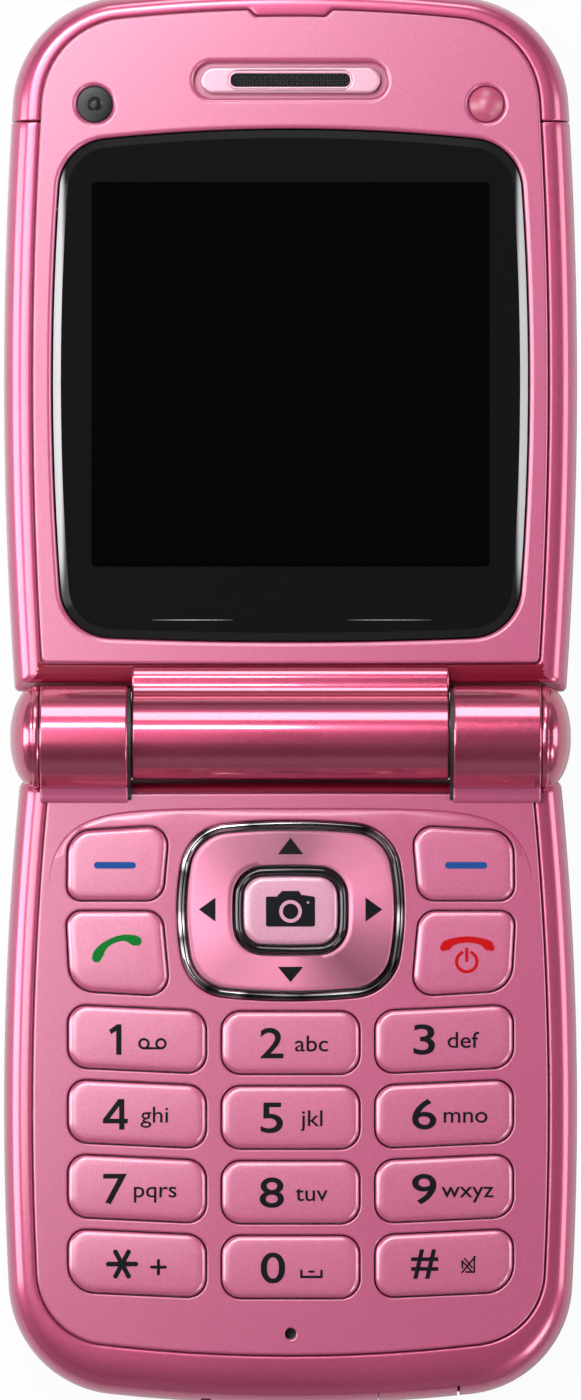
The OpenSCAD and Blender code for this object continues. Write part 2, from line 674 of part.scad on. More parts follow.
// Side knuckle: barrel, lip on the keypad panel and tang inside the base
module side_knuckle(bore_r) difference() {
    union() {
        barrel(side_x0, side_x1, barrel_r);
        translate([side_x0, 0, 0]) rotate([90, 0, 90]) linear_extrude(side_w) polygon([
            [1.5, axis_z - 2.5], [base_end, tang_z], [base_face_end + base_tang - 0.1, tang_z],
            [base_face_end + base_tang - 0.1, panel_z], [base_face_end - fit_gap, panel_z],
            [base_face_end - fit_gap, case_t], [base_face_end + side_lip, case_t],
            [base_face_end + side_lip, case_t + lip_rise - 0.2],
            [base_face_end + side_lip - 0.2, case_t + lip_rise], [1.5, case_t + lip_rise]
        ]);
    }
    barrel(side_x0 - 1, side_x1 - 2, bore_r + fit_gap);
    barrel(side_x1 - 1.2, side_x1 + 1, shaft_r + 0.5);
}

module knuckle_left() color(PINK) on_base() mirror([1, 0, 0]) side_knuckle(shaft_r);
module knuckle_right() color(PINK) on_base() side_knuckle(tube_r);

// Domed cap with a spigot that sits in the knuckle
module end_cap() {
    profile = concat(
        [[0, -1.1], [shaft_r + 0.5 - fit_gap, -1.1], [shaft_r + 0.5 - fit_gap, 0], [barrel_r - 0.06, 0]],
        [for (i = [0:12]) let (a = 7.5 * i) [(barrel_r - 0.06) * cos(a), 0.2 + (cap_dome - 0.2) * sin(a)]]
    );
    translate([side_x1, 0, axis_z]) rotate([0, 90, 0]) rotate_extrude($fn = round_fn) polygon(profile);
}

module end_cap_left() color(PINK) on_base() mirror([1, 0, 0]) end_cap();
module end_cap_right() color(PINK) on_base() end_cap();

// Shaft from the left knuckle to the cam disc in the housing, with two cam lobes
module hinge_cam_shaft() color(STEEL) on_base() {
    cam_x = -middle_x + 1.1;
    barrel(-side_x1 + 2.1, cam_x, shaft_r);
    barrel(cam_x, cam_x + 1.6, cam_r - cam_wall - 0.1);
    intersection() {
        barrel(cam_x + 1.6, cam_x + 2.6, cam_r - cam_wall - 0.1);
        block([cam_x, -cam_r, axis_z - 0.9], [cam_x + 3, cam_r, axis_z + 0.9]);
    }
}

// Hollow pivot of the right knuckle, through which the flat cable passes
module hinge_tube() color(STEEL) on_base() difference() {
    barrel(middle_x - pivot_len, side_x1 - 2.1, tube_r);
    barrel(middle_x - pivot_len - 1, side_x1, tube_bore_r);
}

// ---- Base -----------------------------------------------------------------

// Outline of the navigation pad's pocket, drawn in by an inset
function nav_outline(hw, hh, r, inset) = shifted(
    bowed(hw - inset, hh - inset, -hh + inset, 0, 24 - inset, 60 - inset, 60 - inset,
        r - inset, r - inset, [3, 6, 4, 6, 3]),
    [0, nav_u]);
function nav_pocket(inset) = nav_outline(nav_half_w, nav_half_h, nav_corner_r, inset);
function collar_outline(inset) = nav_outline(collar_half_w, collar_half_h, nav_corner_r - 1.9, inset);

// Outlines of the two command keys on the left; the ones on the right are their mirror images.
// They part just above the middle of the pad and end a little inside its two ends.
split_u = nav_u - 0.44;
soft_low = split_u - command_space / 2;
call_high = split_u + command_space / 2;
soft_corners = [
    [-keys_half_w - 0.12, soft_low], [-nav_half_w - 1.3, soft_low],
    [-nav_half_w - 0.7, nav_u - nav_half_h + 0.51], [-keys_half_w - 0.02, nav_u - nav_half_h + 1.06]
];
soft_radii = [1.3, 1.6, 1.7, 2.2];
call_corners = [
    [-keys_half_w + 0.18, nav_u + nav_half_h - 0.99], [-nav_half_w - 0.65, nav_u + nav_half_h - 0.49],
    [-nav_half_w - 1.35, call_high], [-keys_half_w - 0.22, call_high]
];
call_radii = [2.4, 1.7, 1.6, 1.3];

// Outline of a command key that is grown by a margin
module soft_shape(grow) offset(delta = grow) polygon(rounded([for (i = [3:-1:0]) soft_corners[i]],
    [for (i = [3:-1:0]) soft_radii[i]]));
module call_shape(grow) offset(delta = grow) polygon(rounded([for (i = [3:-1:0]) call_corners[i]],
    [for (i = [3:-1:0]) call_radii[i]]));

// Outline of a number key: column -1, 0 or 1 and row 0 to 3, bent along the arc of its row
function key_u(column, row) = first_row_u + row * key_pitch_u - smile(column * key_pitch_x);
function end_corner(column, row, side) = row == 3 && column == side ? key_end_corner_r : key_corner_r;
module number_shape(column, row, grow) {
    radii = [key_corner_r, key_corner_r, end_corner(column, row, 1), end_corner(column, row, -1)];
    straight = rounded(box_corners(key_w / 2 + grow, key_h / 2 + grow), [for (r = radii) r + grow]);
    placed = shifted(straight, [column * key_pitch_x, first_row_u + row * key_pitch_u]);
    polygon([for (p = placed) [p.x, p.y - smile(p.x)]]);
}

// The crease that arches over the keys: it fades out at both feet
crease_half_w = keys_half_w + 1.82;
crease_top_u = nav_u - nav_half_h - 0.74;
crease_rise = 7.85;
function crease_point(t, side) =
    let (w = crease_w / 2 * min(1, 0.1 + 2.2 * (1 - abs(t))))
    [crease_half_w * sin(90 * t), crease_top_u + crease_rise * pow(abs(t), 4) + side * w];
module crease_shape() polygon(concat(
    [for (i = [-24:24]) crease_point(i / 24, -1)],
    [for (i = [24:-1:-24]) crease_point(i / 24, 1)]
));

module keypad_panel() color(PINK) on_base() {
    difference() {
        plate(panel_z, case_t) difference() {
            polygon(base_panel_outline());
            polygon(nav_pocket(0));
            for (column = [-1:1]) for (row = [0:3]) number_shape(column, row, key_gap);
            both_sides() soft_shape(key_gap);
            both_sides() call_shape(key_gap);
        }
        plate(case_t - crease_depth, case_t + 1) crease_shape();
        post(0, mic_u, panel_z - 1, case_t + 1, mic_r);
    }
    for (u = base_screw_us) both_sides() difference() {
        post(screw_x, u, base_floor, panel_z, boss_r);
        post(screw_x, u, base_floor - 1, panel_z - 0.5, screw_r + fit_gap);
    }
}

module base_rear_case() color(PINK) on_base() difference() {
    base_tray();
    // rim under the keypad panel's near edge
    block([-half_w + rail_w - 0.4, 0, panel_z], [half_w - rail_w + 0.4, base_face_end + 0.1, case_t]);
    // slots for the side knuckles' tangs
    both_sides() block([side_x0 - fit_gap, 0, tang_z], [side_x1 + fit_gap, base_face_end + base_tang, panel_z]);
    // battery pocket and the bed of its cover, which is open at the bottom end
    block([-battery_w / 2 - 0.2, battery_u - 0.2, -1],
        [battery_w / 2 + 0.2, battery_u + battery_h + 0.2, cover_t + battery_t + 0.2]);
    block([-cover_half_w - 0.12, cover_u - 0.1, -1], [cover_half_w + 0.12, base_reach + 1, cover_t + 0.05]);
    // loudspeaker and motor pockets
    post(0, speaker_u, 1.6, base_floor + 1, 3.7);
    for (i = [-2:2]) block([-2.4, speaker_u + i * 1.3 - 0.3, -1], [2.4, speaker_u + i * 1.3 + 0.3, 2]);
    block([6.2, speaker_u - 1.2, 2.2], [13.2, speaker_u + 2.8, base_floor + 1]);
    // socket and bed of its cover
    block([port_x0 - 0.3, base_reach - 9, 2.6], [port_x1 + 0.3, base_reach - 2.2, base_floor - 0.3]);
    block([port_x0 - fit_gap, base_reach - 2.3, 3], [port_x1 + 0.35, base_reach + 1, port_top + fit_gap]);
    // strap slit
    block([-slit_x - slit_w / 2, base_reach - 1.7, 4.4], [-slit_x + slit_w / 2, base_reach + 1, port_top - 0.1]);
    // slot of the volume key
    volume_shape(0.18, 3.5);
    for (u = base_screw_us) both_sides() {
        post(screw_x, u, -1, base_floor + 1, screw_r + fit_gap);
        post(screw_x, u, -1, 0.8, 1.05);
    }
}

// Rounded bar across the left side, for the volume key and its slot
module volume_shape(grow, depth) translate([-half_w - 1, volume_u, case_t / 2]) rotate([90, 0, 90])
    linear_extrude(depth + 1) polygon(pill(volume_half + grow, 1.4 + grow, 1.2 + grow));

module volume_key() color(PINK) on_base() {
    intersection() {
        base_block();
        volume_shape(0, 2.6);
    }
}

module main_circuit_board() color(BOARD_GREEN) on_base() plate(base_floor, dome_z) intersection() {
    polygon(pill_between(base_boards_half_w, base_face_end + base_tang + 0.3, mic_u + 0.6, 4));
    polygon(base_panel_outline(ledge_w + 0.2));
}

module key_dome_sheet() color("#d9d9dd") on_base() plate(dome_z, dome_top)
    polygon(pill_between(base_boards_half_w - 0.2, base_face_end + base_tang + 0.6, keys_end + 1.03, 3));

module nav_bezel() color(CHROME) on_base() difference() {
    union() {
        plate(panel_z - 0.4, panel_z) polygon(nav_pocket(-0.25));
        plate(panel_z, case_t + 0.3) polygon(nav_pocket(fit_gap));
    }
    plate(panel_z - 1, case_t + 1) polygon(nav_pocket(nav_bezel_w));
}

module centre_key_collar() color(DARK_CHROME) on_base() difference() {
    plate(dome_top, case_t + 0.2) polygon(collar_outline(0));
    plate(dome_top - 1, case_t + 1) polygon(collar_outline(collar_w));
}

module nav_ring() color(PINK) on_base() intersection() {
    difference() {
        plate(panel_z - 0.1, case_t + 1) polygon(nav_pocket(nav_bezel_w + rock_gap));
        plate(panel_z - 1, case_t + 2) polygon(collar_outline(-rock_gap));
    }
    crown(nav_u, key_top, 2 * key_crown_r);
}

// Rocker under the ring, turning about the pad's long axis
module nav_rocker() color(STEEL) on_base() difference() {
    plate(key_z - 0.05, panel_z - 0.35) polygon(nav_pocket(nav_bezel_w + 0.8));
    plate(0, case_t) polygon(collar_outline(-0.3));
}

module centre_key() color(PINK) on_base() intersection() {
    plate(key_z, case_t + 1) polygon(collar_outline(collar_w + 0.12));
    crown(nav_u, key_top, key_crown_r);
}

module battery() color("#2c2c32") on_base() {
    z0 = cover_t + 0.1;
    block([-battery_w / 2, battery_u, z0], [battery_w / 2, battery_u + battery_h, z0 + battery_t]);
}

module battery_cover() color(PINK) on_base() difference() {
    intersection() {
        base_block();
        block([-cover_half_w, cover_u, 0], [cover_half_w, base_reach + 1, cover_t]);
    }
    for (i = [0:4]) block([-4, cover_u + 2.5 + i * 1.2, -0.3], [4, cover_u + 3 + i * 1.2, 0.3]);
}

module loudspeaker() color(BLACK_PLASTIC) on_base() difference() {
    post(0, speaker_u, 1.6, base_floor, 3.6);
    post(0, speaker_u, 1, 2, 2.9);
}

module vibration_motor() color(STEEL) on_base() {
    block([6.4, speaker_u - 1, 2.2], [11.4, speaker_u + 2.6, base_floor]);
    translate([11.4, speaker_u + 0.8, 4.2]) rotate([0, 90, 0]) cylinder(h = 1.5, r = 1.4, $fn = 32);
}

module microphone() color(STEEL) on_base() difference() {
    block([-1.6, mic_u - 1.8, dome_z], [1.6, mic_u + 0.6, panel_z]);
    post(0, mic_u, dome_z + 0.6, panel_z + 1, mic_r);
}

module data_connector() color(STEEL) on_base() difference() {
    block([port_x0, base_reach - 8.8, 2.6], [port_x1, base_reach - 2.6, base_floor - 0.4]);
    block([port_x0 + 0.4, base_reach - 7.8, 3], [port_x1 - 0.4, base_reach - 2, base_floor - 0.8]);
}

module port_cover() color(PINK) on_base() {
    intersection() {
        base_block();
        block([port_x0, base_reach - 2.1, 3.1], [port_x1, base_reach + 1, port_top]);
    }
    block([port_x0 + 1, base_reach - 3.2, 3.3], [port_x1 - 1.4, base_reach - 2.1, base_floor - 1]);
}

module base_screws() color(STEEL) on_base() for (u = base_screw_us) both_sides() screw(u, 0.4, panel_z - 0.6);

// ---- Keys -----------------------------------------------------------------

// A key with a crowned top and a flange under the panel; the children draw its outline and its flange's
module key_body(u) {
    intersection() {
        plate(key_z, key_top) children(0);
        crown(u, key_top, key_crown_r);
    }
    plate(key_z, flange_top) children(1);
}

module number_key(column, row) color(PINK) on_base() key_body(key_u(column, row)) {
    number_shape(column, row, 0);
    number_shape(column, row, key_flange);
}

module soft_key() key_body((soft_low + soft_corners[2].y) / 2) {
    soft_shape(0);
    soft_shape(key_flange);
}

module phone_key() key_body((call_high + call_corners[0].y) / 2) {
    call_shape(0);
    call_shape(key_flange);
}

module soft_key_left() color(PINK) on_base() soft_key();
module soft_key_right() color(PINK) on_base() mirror([1, 0, 0]) soft_key();
module call_key() color(PINK) on_base() phone_key();
module end_key() color(PINK) on_base() mirror([1, 0, 0]) phone_key();
module key_1() number_key(-1, 0);
module key_2() number_key(0, 0);
module key_3() number_key(1, 0);
module key_4() number_key(-1, 1);
module key_5() number_key(0, 1);
module key_6() number_key(1, 1);
module key_7() number_key(-1, 2);
module key_8() number_key(0, 2);
module key_9() number_key(1, 2);
module key_star() number_key(-1, 3);
module key_0() number_key(0, 3);
module key_hash() number_key(1, 3);

lid_rear_shell();
lid_top_cap();
lid_front_panel();
display_lens();
main_display();
earpiece_bezel();
earpiece_mesh();
earpiece_speaker();
camera_lens();
camera_module();
bumper_pad();
lid_circuit_board();
outer_display_lens();
outer_display();
lid_antenna();
lid_screws();
hinge_barrel();
hinge_cam_housing();
hinge_spring();
flex_cable();
knuckle_left();
knuckle_right();
end_cap_left();
end_cap_right();
hinge_cam_shaft();
hinge_tube();
keypad_panel();
base_rear_case();
main_circuit_board();
key_dome_sheet();
nav_bezel();
centre_key_collar();
battery();
battery_cover();
loudspeaker();
vibration_motor();
microphone();
data_connector();
port_cover();
volume_key();
base_screws();
nav_rocker();
nav_ring();
centre_key();
soft_key_left();
soft_key_right();
call_key();
end_key();
key_1();
key_2();
key_3();
key_4();
key_5();
key_6();
key_7();
key_8();
key_9();
key_star();
key_0();
key_hash();
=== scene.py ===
# %% [markdown]
# # A flip phone, opened flat
# The phone lies on its back on a pale table, with its lid turned up to the top of the picture.
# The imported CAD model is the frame: it gives every size and place. The moulded skins, keys, prints
# and lenses are then modelled around it as smooth meshes, one cell for each kind of piece.

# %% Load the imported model
import json
from math import acos, asin, atan2, cos, hypot, pi, radians, sin, sqrt

import bmesh
import bpy
from mathutils import Matrix, Vector


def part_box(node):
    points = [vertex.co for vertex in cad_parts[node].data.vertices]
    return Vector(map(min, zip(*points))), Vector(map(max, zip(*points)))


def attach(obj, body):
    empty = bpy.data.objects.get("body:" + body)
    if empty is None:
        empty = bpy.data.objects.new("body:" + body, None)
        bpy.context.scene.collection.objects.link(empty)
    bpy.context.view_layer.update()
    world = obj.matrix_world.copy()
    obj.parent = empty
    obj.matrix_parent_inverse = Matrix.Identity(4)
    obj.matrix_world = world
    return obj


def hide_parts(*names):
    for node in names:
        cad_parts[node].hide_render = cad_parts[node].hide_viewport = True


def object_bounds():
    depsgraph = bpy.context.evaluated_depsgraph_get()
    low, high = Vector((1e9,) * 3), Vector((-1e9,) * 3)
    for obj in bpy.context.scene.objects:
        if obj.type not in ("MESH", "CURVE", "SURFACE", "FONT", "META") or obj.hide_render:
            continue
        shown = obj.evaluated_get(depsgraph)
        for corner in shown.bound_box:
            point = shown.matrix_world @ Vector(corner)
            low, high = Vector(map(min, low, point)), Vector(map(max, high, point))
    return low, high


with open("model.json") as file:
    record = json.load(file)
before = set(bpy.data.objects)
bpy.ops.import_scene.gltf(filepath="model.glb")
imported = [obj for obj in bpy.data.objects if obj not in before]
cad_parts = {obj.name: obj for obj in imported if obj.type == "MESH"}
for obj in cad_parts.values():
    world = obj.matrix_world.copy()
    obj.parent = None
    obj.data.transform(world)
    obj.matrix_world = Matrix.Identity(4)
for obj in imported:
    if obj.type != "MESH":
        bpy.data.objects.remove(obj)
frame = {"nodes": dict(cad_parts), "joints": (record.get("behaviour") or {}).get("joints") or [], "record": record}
cad_low, cad_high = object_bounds()
print("CAD box in mm:", [round(1000 * (b - a), 2) for a, b in zip(cad_low, cad_high)])

# %% [markdown]
# ## Sizes
# All shapes are worked out in millimetres as (x, u, z), where u is the distance from the hinge axis.
# The lid uses u upwards and the base uses it downwards, so one set of functions serves both halves.
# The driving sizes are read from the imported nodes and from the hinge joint, so the skins fit them.

# %% Sizes that come from the frame
MM = 0.001


def top_of(node):
    return 1000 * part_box(node)[1].z


hinge = next(j for j in frame["joints"] if j["name"] == "lid_hinge")
HINGE_Y, AXIS_Z = (1000 * v for v in hinge["pos_m"][1:])
HALF_W = 1000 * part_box("lid_rear_shell")[1].x
LID_REACH = 1000 * cad_high.y - HINGE_Y
BASE_REACH = HINGE_Y - 1000 * cad_low.y
FACE_Z = top_of("keypad_panel")
RIM_Z = top_of("base_rear_case")
KEY_TOP = top_of("key_5")
PANEL_T = 1.4
PANEL_Z = FACE_Z - PANEL_T
NAV_U = HINGE_Y - 500 * (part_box("nav_ring")[0].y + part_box("nav_ring")[1].y)
print(f"hinge at y {HINGE_Y:.2f}, z {AXIS_Z:.2f}; reaches {LID_REACH:.1f} and {BASE_REACH:.1f}")


def place(half, point):
    x, u, z = point
    y = HINGE_Y + (u if half == "lid" else -u)
    return x * MM, y * MM, z * MM


# %% [markdown]
# ## Outlines
# Both halves have bowed sides and ends with round corners, so their outline is a chain of arcs.
# The same chain with other radii gives the lens, the navigation pad and its collar.

# %% Arcs and rounded outlines
def arc(centre, r, start, end, n):
    """Points on an arc, without its first one."""
    angles = [start + (end - start) * i / n for i in range(1, n + 1)]
    return [(centre[0] + r * cos(a), centre[1] + r * sin(a)) for a in angles]


def crossing(s, a, t, b):
    """The right-hand crossing of a circle round s, of radius a, with one round t, of radius b."""
    dx, dy = t[0] - s[0], t[1] - s[1]
    length = hypot(dx, dy)
    along = (a * a - b * b + length * length) / (2 * length)
    across = sqrt(max(0.0, a * a - along * along))
    ex, ey = dx / length, dy / length
    found = [(s[0] + along * ex + k * across * ey, s[1] + along * ey - k * across * ex) for k in (1, -1)]
    return max(found)


def bowed(half_w, far, near, side_u, side_r, far_r, near_r, far_corner, near_corner, n):
    """A closed outline with bowed sides and ends, symmetric about x = 0, counter-clockwise."""
    side = (half_w - side_r, side_u)
    top = (0, far - far_r)
    low = (0, near + near_r)
    far_c = crossing(side, side_r - far_corner, top, far_r - far_corner)
    flipped = crossing((side[0], -side[1]), side_r - near_corner, (0, -low[1]), near_r - near_corner)
    near_c = (flipped[0], -flipped[1])
    low_end = atan2(near_c[1] - low[1], near_c[0] - low[0])
    side_start = atan2(near_c[1] - side[1], near_c[0] - side[0])
    side_end = atan2(far_c[1] - side[1], far_c[0] - side[0])
    top_start = atan2(far_c[1] - top[1], far_c[0] - top[0])
    right = (
        arc(low, near_r, -pi / 2, low_end, n[0])
        + arc(near_c, near_corner, low_end, side_start, n[1])
        + arc(side, side_r, side_start, side_end, n[2])
        + arc(far_c, far_corner, side_end, top_start, n[3])
        + arc(top, far_r, top_start, pi / 2, n[4])
    )
    return [(0.0, near)] + right + [(-x, u) for x, u in right[-2::-1]]


def corner_rays(corners, i):
    (px, py), (ax, ay), (bx, by) = corners[i], corners[i - 1], corners[(i + 1) % len(corners)]
    a, b = Vector((ax - px, ay - py)).normalized(), Vector((bx - px, by - py)).normalized()
    return Vector((px, py)), a, b, acos(a.dot(b)) / 2


def rounded(corners, radii, n=10):
    """A counter-clockwise polygon with rounded corners."""
    points = []
    for i, r in enumerate(radii):
        p, a, b, half = corner_rays(corners, i)
        centre = p + (a + b).normalized() * (r / sin(half))
        first = p + a * (r * cos(half) / sin(half)) - centre
        start = atan2(first.y, first.x)
        turn = pi - 2 * half
        points += [(centre.x + r * cos(start + turn * k / n), centre.y + r * sin(start + turn * k / n))
                   for k in range(n + 1)]
    return points


def drawn_in(corners, radii, by):
    """The same corners and radii, with every side moved inwards."""
    moved = []
    for i in range(len(corners)):
        p, a, b, half = corner_rays(corners, i)
        moved.append(tuple(p + (a + b).normalized() * (by / sin(half))))
    return moved, [max(r - by, 0.04) for r in radii]


def box_corners(half_w, half_h):
    return [(-half_w, -half_h), (half_w, -half_h), (half_w, half_h), (-half_w, half_h)]


def pill(half_w, half_h, r, centre=(0, 0), n=10):
    return [(x + centre[0], u + centre[1]) for x, u in rounded(box_corners(half_w, half_h), [r] * 4, n)]


def circle(centre, r, n=64):
    return arc(centre, r, 0, 2 * pi, n)


def inset(loop, by):
    """A dense counter-clockwise loop moved inwards by a small distance, or outwards if it is negative."""
    moved = []
    for i, (px, py) in enumerate(loop):
        (ax, ay), (bx, by_) = loop[i - 1], loop[(i + 1) % len(loop)]
        before = Vector((ay - py, px - ax)).normalized()
        after = Vector((py - by_, bx - px)).normalized()
        step = (before + after) * (by / (1 + before.dot(after)))
        moved.append((px + step.x, py + step.y))
    return moved


# %% [markdown]
# ## Mesh helpers
# A moulded part is a loft: rings of equally many points, joined by quads. A panel is a flat sheet
# between closed loops, with a small rounding on every edge, because a real moulding never ends in a
# knife edge and the rounding is what catches the light.

# %% Lofts, plates and pieces
def level(loop, z):
    return [(x, u, z) for x, u in loop]


def loft(rings, closed=False):
    """Quads between rings. A closed loft runs back to its first ring; an open one has flat caps."""
    n, rows = len(rings[0]), len(rings)
    faces = []
    for k in range(rows if closed else rows - 1):
        a, b = k * n, (k + 1) % rows * n
        faces += [(a + i, a + (i + 1) % n, b + (i + 1) % n, b + i) for i in range(n)]
    if not closed:
        faces += [tuple(range(n)), tuple(range((rows - 1) * n, rows * n))]
    return [p for ring in rings for p in ring], faces


def fill(loops):
    """Triangles of the sheet between closed loops."""
    bm = bmesh.new()
    edges = []
    for loop in loops:
        verts = [bm.verts.new(p) for p in loop]
        edges += [bm.edges.new((verts[i - 1], verts[i])) for i in range(len(verts))]
    bmesh.ops.triangle_fill(bm, use_beauty=True, edges=edges, normal=(0, 0, 1))
    bm.verts.index_update()
    found = [tuple(v.co) for v in bm.verts], [tuple(v.index for v in f.verts) for f in bm.faces]
    bm.free()
    return found


def rounding(width, drop, n=4):
    """Steps of an edge rounding from the top face outwards: (inset, depth below the top)."""
    angles = [pi / 2 * i / n for i in range(n + 1)]
    return [(width * (1 - sin(a)), drop * (1 - cos(a))) for a in angles]


def walls(loop, z0, z1, edge, side):
    """The rounded edge and the wall of one loop; side is 1 for an outer loop and -1 for a hole."""
    rings = [level(inset(loop, side * (edge[0][0] + 0.03)), z1)]
    rings += [level(inset(loop, side * a), z1 - d) for a, d in edge]
    rings.append(level(loop, z0))
    verts, faces = loft(rings)
    return rings, (verts, faces[:-2])


def plate(outer, holes, z0, z1, edge, hole_edges=None):
    """A flat plate with holes. Each edge is a list of rounding steps."""
    hole_edges = hole_edges or [edge] * len(holes)
    made = [walls(outer, z0, z1, edge, 1)]
    made += [walls(hole, z0, z1, e, -1) for hole, e in zip(holes, hole_edges)]
    return [part for _, part in made] + [fill([r[0] for r, _ in made]), fill([r[-1] for r, _ in made])]


def carve(part, tools, operation="DIFFERENCE"):
    """A part after exact booleans with other parts."""
    made = []
    for verts, faces in [part[:2]] + [t[:2] for t in tools]:
        mesh = bpy.data.meshes.new("carved")
        mesh.from_pydata(verts, [], faces)
        bm = bmesh.new()
        bm.from_mesh(mesh)
        bmesh.ops.recalc_face_normals(bm, faces=bm.faces)
        bm.to_mesh(mesh)
        bm.free()
        made.append(bpy.data.objects.new("carved", mesh))
        bpy.context.scene.collection.objects.link(made[-1])
    for tool in made[1:]:
        cut = made[0].modifiers.new("cut", "BOOLEAN")
        cut.solver, cut.operation, cut.object = "EXACT", operation, tool
    shaped = made[0].evaluated_get(bpy.context.evaluated_depsgraph_get()).to_mesh()
    found = [tuple(v.co) for v in shaped.vertices], [tuple(f.vertices) for f in shaped.polygons]
    for used in made:
        bpy.data.objects.remove(used)
    return found


def split(part, chosen):
    """A part as two: the faces whose middle passes a test of (x, u, z), with material 1, and the rest."""
    verts, faces = part[:2]
    found = [], []
    for f in faces:
        middle = [sum(verts[i][k] for i in f) / len(f) for k in range(3)]
        found[chosen(*middle)].append(f)
    return [(verts, some, index) for index, some in enumerate(found)]


def prism(loop, z0, z1):
    return loft([level(loop, z0), level(loop, z1)])


def box_part(low, high):
    (x0, u0, z0), (x1, u1, z1) = low, high
    return prism([(x0, u0), (x1, u0), (x1, u1), (x0, u1)], z0, z1)


def turned(profile, centre, n=64):
    """A profile of (radius, z) turned about an upright axis, closed by its two ends."""
    return loft([level(circle(centre, r, n), z) for r, z in profile])


def finish_mesh(bm, name, material, sharp):
    """Welds, turns the faces outwards and marks the sharp edges."""
    bmesh.ops.remove_doubles(bm, verts=bm.verts, dist=2e-7)
    bmesh.ops.recalc_face_normals(bm, faces=bm.faces)
    for face in bm.faces:
        face.smooth = True
    for edge in bm.edges:
        edge.smooth = len(edge.link_faces) == 2 and edge.calc_face_angle() < radians(sharp)
    mesh = bpy.data.meshes.new(name)
    bm.to_mesh(mesh)
    bm.free()
    for m in material if isinstance(material, (list, tuple)) else [material]:
        mesh.materials.append(m)
    piece = bpy.data.objects.new(name, mesh)
    bpy.context.scene.collection.objects.link(piece)
    return piece


def mount(piece, body, slot, replaces=()):
    """Lets a finished piece ride on its body and stand for its CAD nodes."""
    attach(piece, body)
    if replaces:
        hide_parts(*replaces)
    return piece


def piece(name, parts, half, body, slot, material, replaces=(), sharp=40, flat=False):
    """One object from parts (points, faces and, if wanted, a material index)."""
    bm = bmesh.new()
    for part in parts:
        made = [bm.verts.new(place(half, p)) for p in part[0]]
        for corners in part[1]:
            face = bm.faces.new([made[i] for i in corners])
            face.material_index = part[2] if len(part) > 2 else 0
    made = finish_mesh(bm, name, material, sharp)
    if flat:
        weighted = made.modifiers.new("flat_faces_stay_flat", "WEIGHTED_NORMAL")
        weighted.keep_sharp = True
    return mount(made, body, slot, replaces)


# %% [markdown]
# ## Shared finishes
# The lacquer of such a phone is a pearl paint: a pink coat full of fine metal flakes under clear
# varnish. Two effects are shared by most finishes, so they are node groups: the flakes, and the faint
# haze that handling leaves in a gloss. Each material places them with its own values.

# %% Node helpers and the shared groups
def node(tree, kind, inputs=(), **settings):
    """Adds a node, sets it up, and links or sets its inputs."""
    made = tree.nodes.new(kind)
    for key, value in settings.items():
        setattr(made, key, value)
    for socket, value in dict(inputs).items():
        if isinstance(value, bpy.types.NodeSocket):
            tree.links.new(value, made.inputs[socket])
        else:
            made.inputs[socket].default_value = value
    return made


def new_group(name, inputs, outputs):
    """An empty shader group with float inputs (name: default) and outputs."""
    tree = bpy.data.node_groups.new(name, "ShaderNodeTree")
    for key, value in inputs.items():
        socket = tree.interface.new_socket(key, in_out="INPUT", socket_type="NodeSocketFloat")
        socket.default_value = value
    for key in outputs:
        tree.interface.new_socket(key, in_out="OUTPUT", socket_type="NodeSocketFloat")
    return tree, tree.nodes.new("NodeGroupInput").outputs, tree.nodes.new("NodeGroupOutput").inputs


def flake_group():
    tree, given, out = new_group("metal_flakes", {"Scale": 9000.0, "Amount": 0.1}, ["Tone", "Height"])
    place_on = node(tree, "ShaderNodeTexCoord").outputs["Object"]
    cells = node(tree, "ShaderNodeTexVoronoi", {"Vector": place_on, "Scale": given["Scale"]})
    tone = node(tree, "ShaderNodeSeparateColor", {"Color": cells.outputs["Color"]}).outputs["Red"]
    centred = node(tree, "ShaderNodeMath", {0: tone, 1: 0.5}, operation="SUBTRACT").outputs[0]
    spread = node(tree, "ShaderNodeMath", {0: centred, 1: given["Amount"], 2: 1.0}, operation="MULTIPLY_ADD")
    tree.links.new(spread.outputs[0], out["Tone"])
    tree.links.new(tone, out["Height"])
    return tree


def haze_group():
    tree, given, out = new_group("handling_haze", {"Scale": 90.0, "Low": 0.2, "High": 0.3}, ["Roughness"])
    place_on = node(tree, "ShaderNodeTexCoord").outputs["Object"]
    cloud = node(tree, "ShaderNodeTexNoise", {"Vector": place_on, "Scale": given["Scale"], "Detail": 3.0})
    level_out = node(tree, "ShaderNodeMapRange", {
        "Value": cloud.outputs["Fac"], "From Min": 0.3, "From Max": 0.7,
        "To Min": given["Low"], "To Max": given["High"]})
    tree.links.new(level_out.outputs["Result"], out["Roughness"])
    return tree


FLAKES = flake_group()
HAZE = haze_group()


def use_group(tree, group, **values):
    made = tree.nodes.new("ShaderNodeGroup")
    made.node_tree = group
    for key, value in values.items():
        made.inputs[key].default_value = value
    return made.outputs


def new_material(name, **inputs):
    """A material with a Principled shader; underscores in the names stand for spaces."""
    material = bpy.data.materials.new(name)
    material.use_nodes = True
    shader = material.node_tree.nodes["Principled BSDF"]
    for key, value in inputs.items():
        shader.inputs[key.replace("_", " ")].default_value = value
    return material, material.node_tree, shader.inputs


def add_haze(tree, sockets, low, high, scale=90.0):
    tree.links.new(use_group(tree, HAZE, Low=low, High=high, Scale=scale)["Roughness"], sockets["Roughness"])


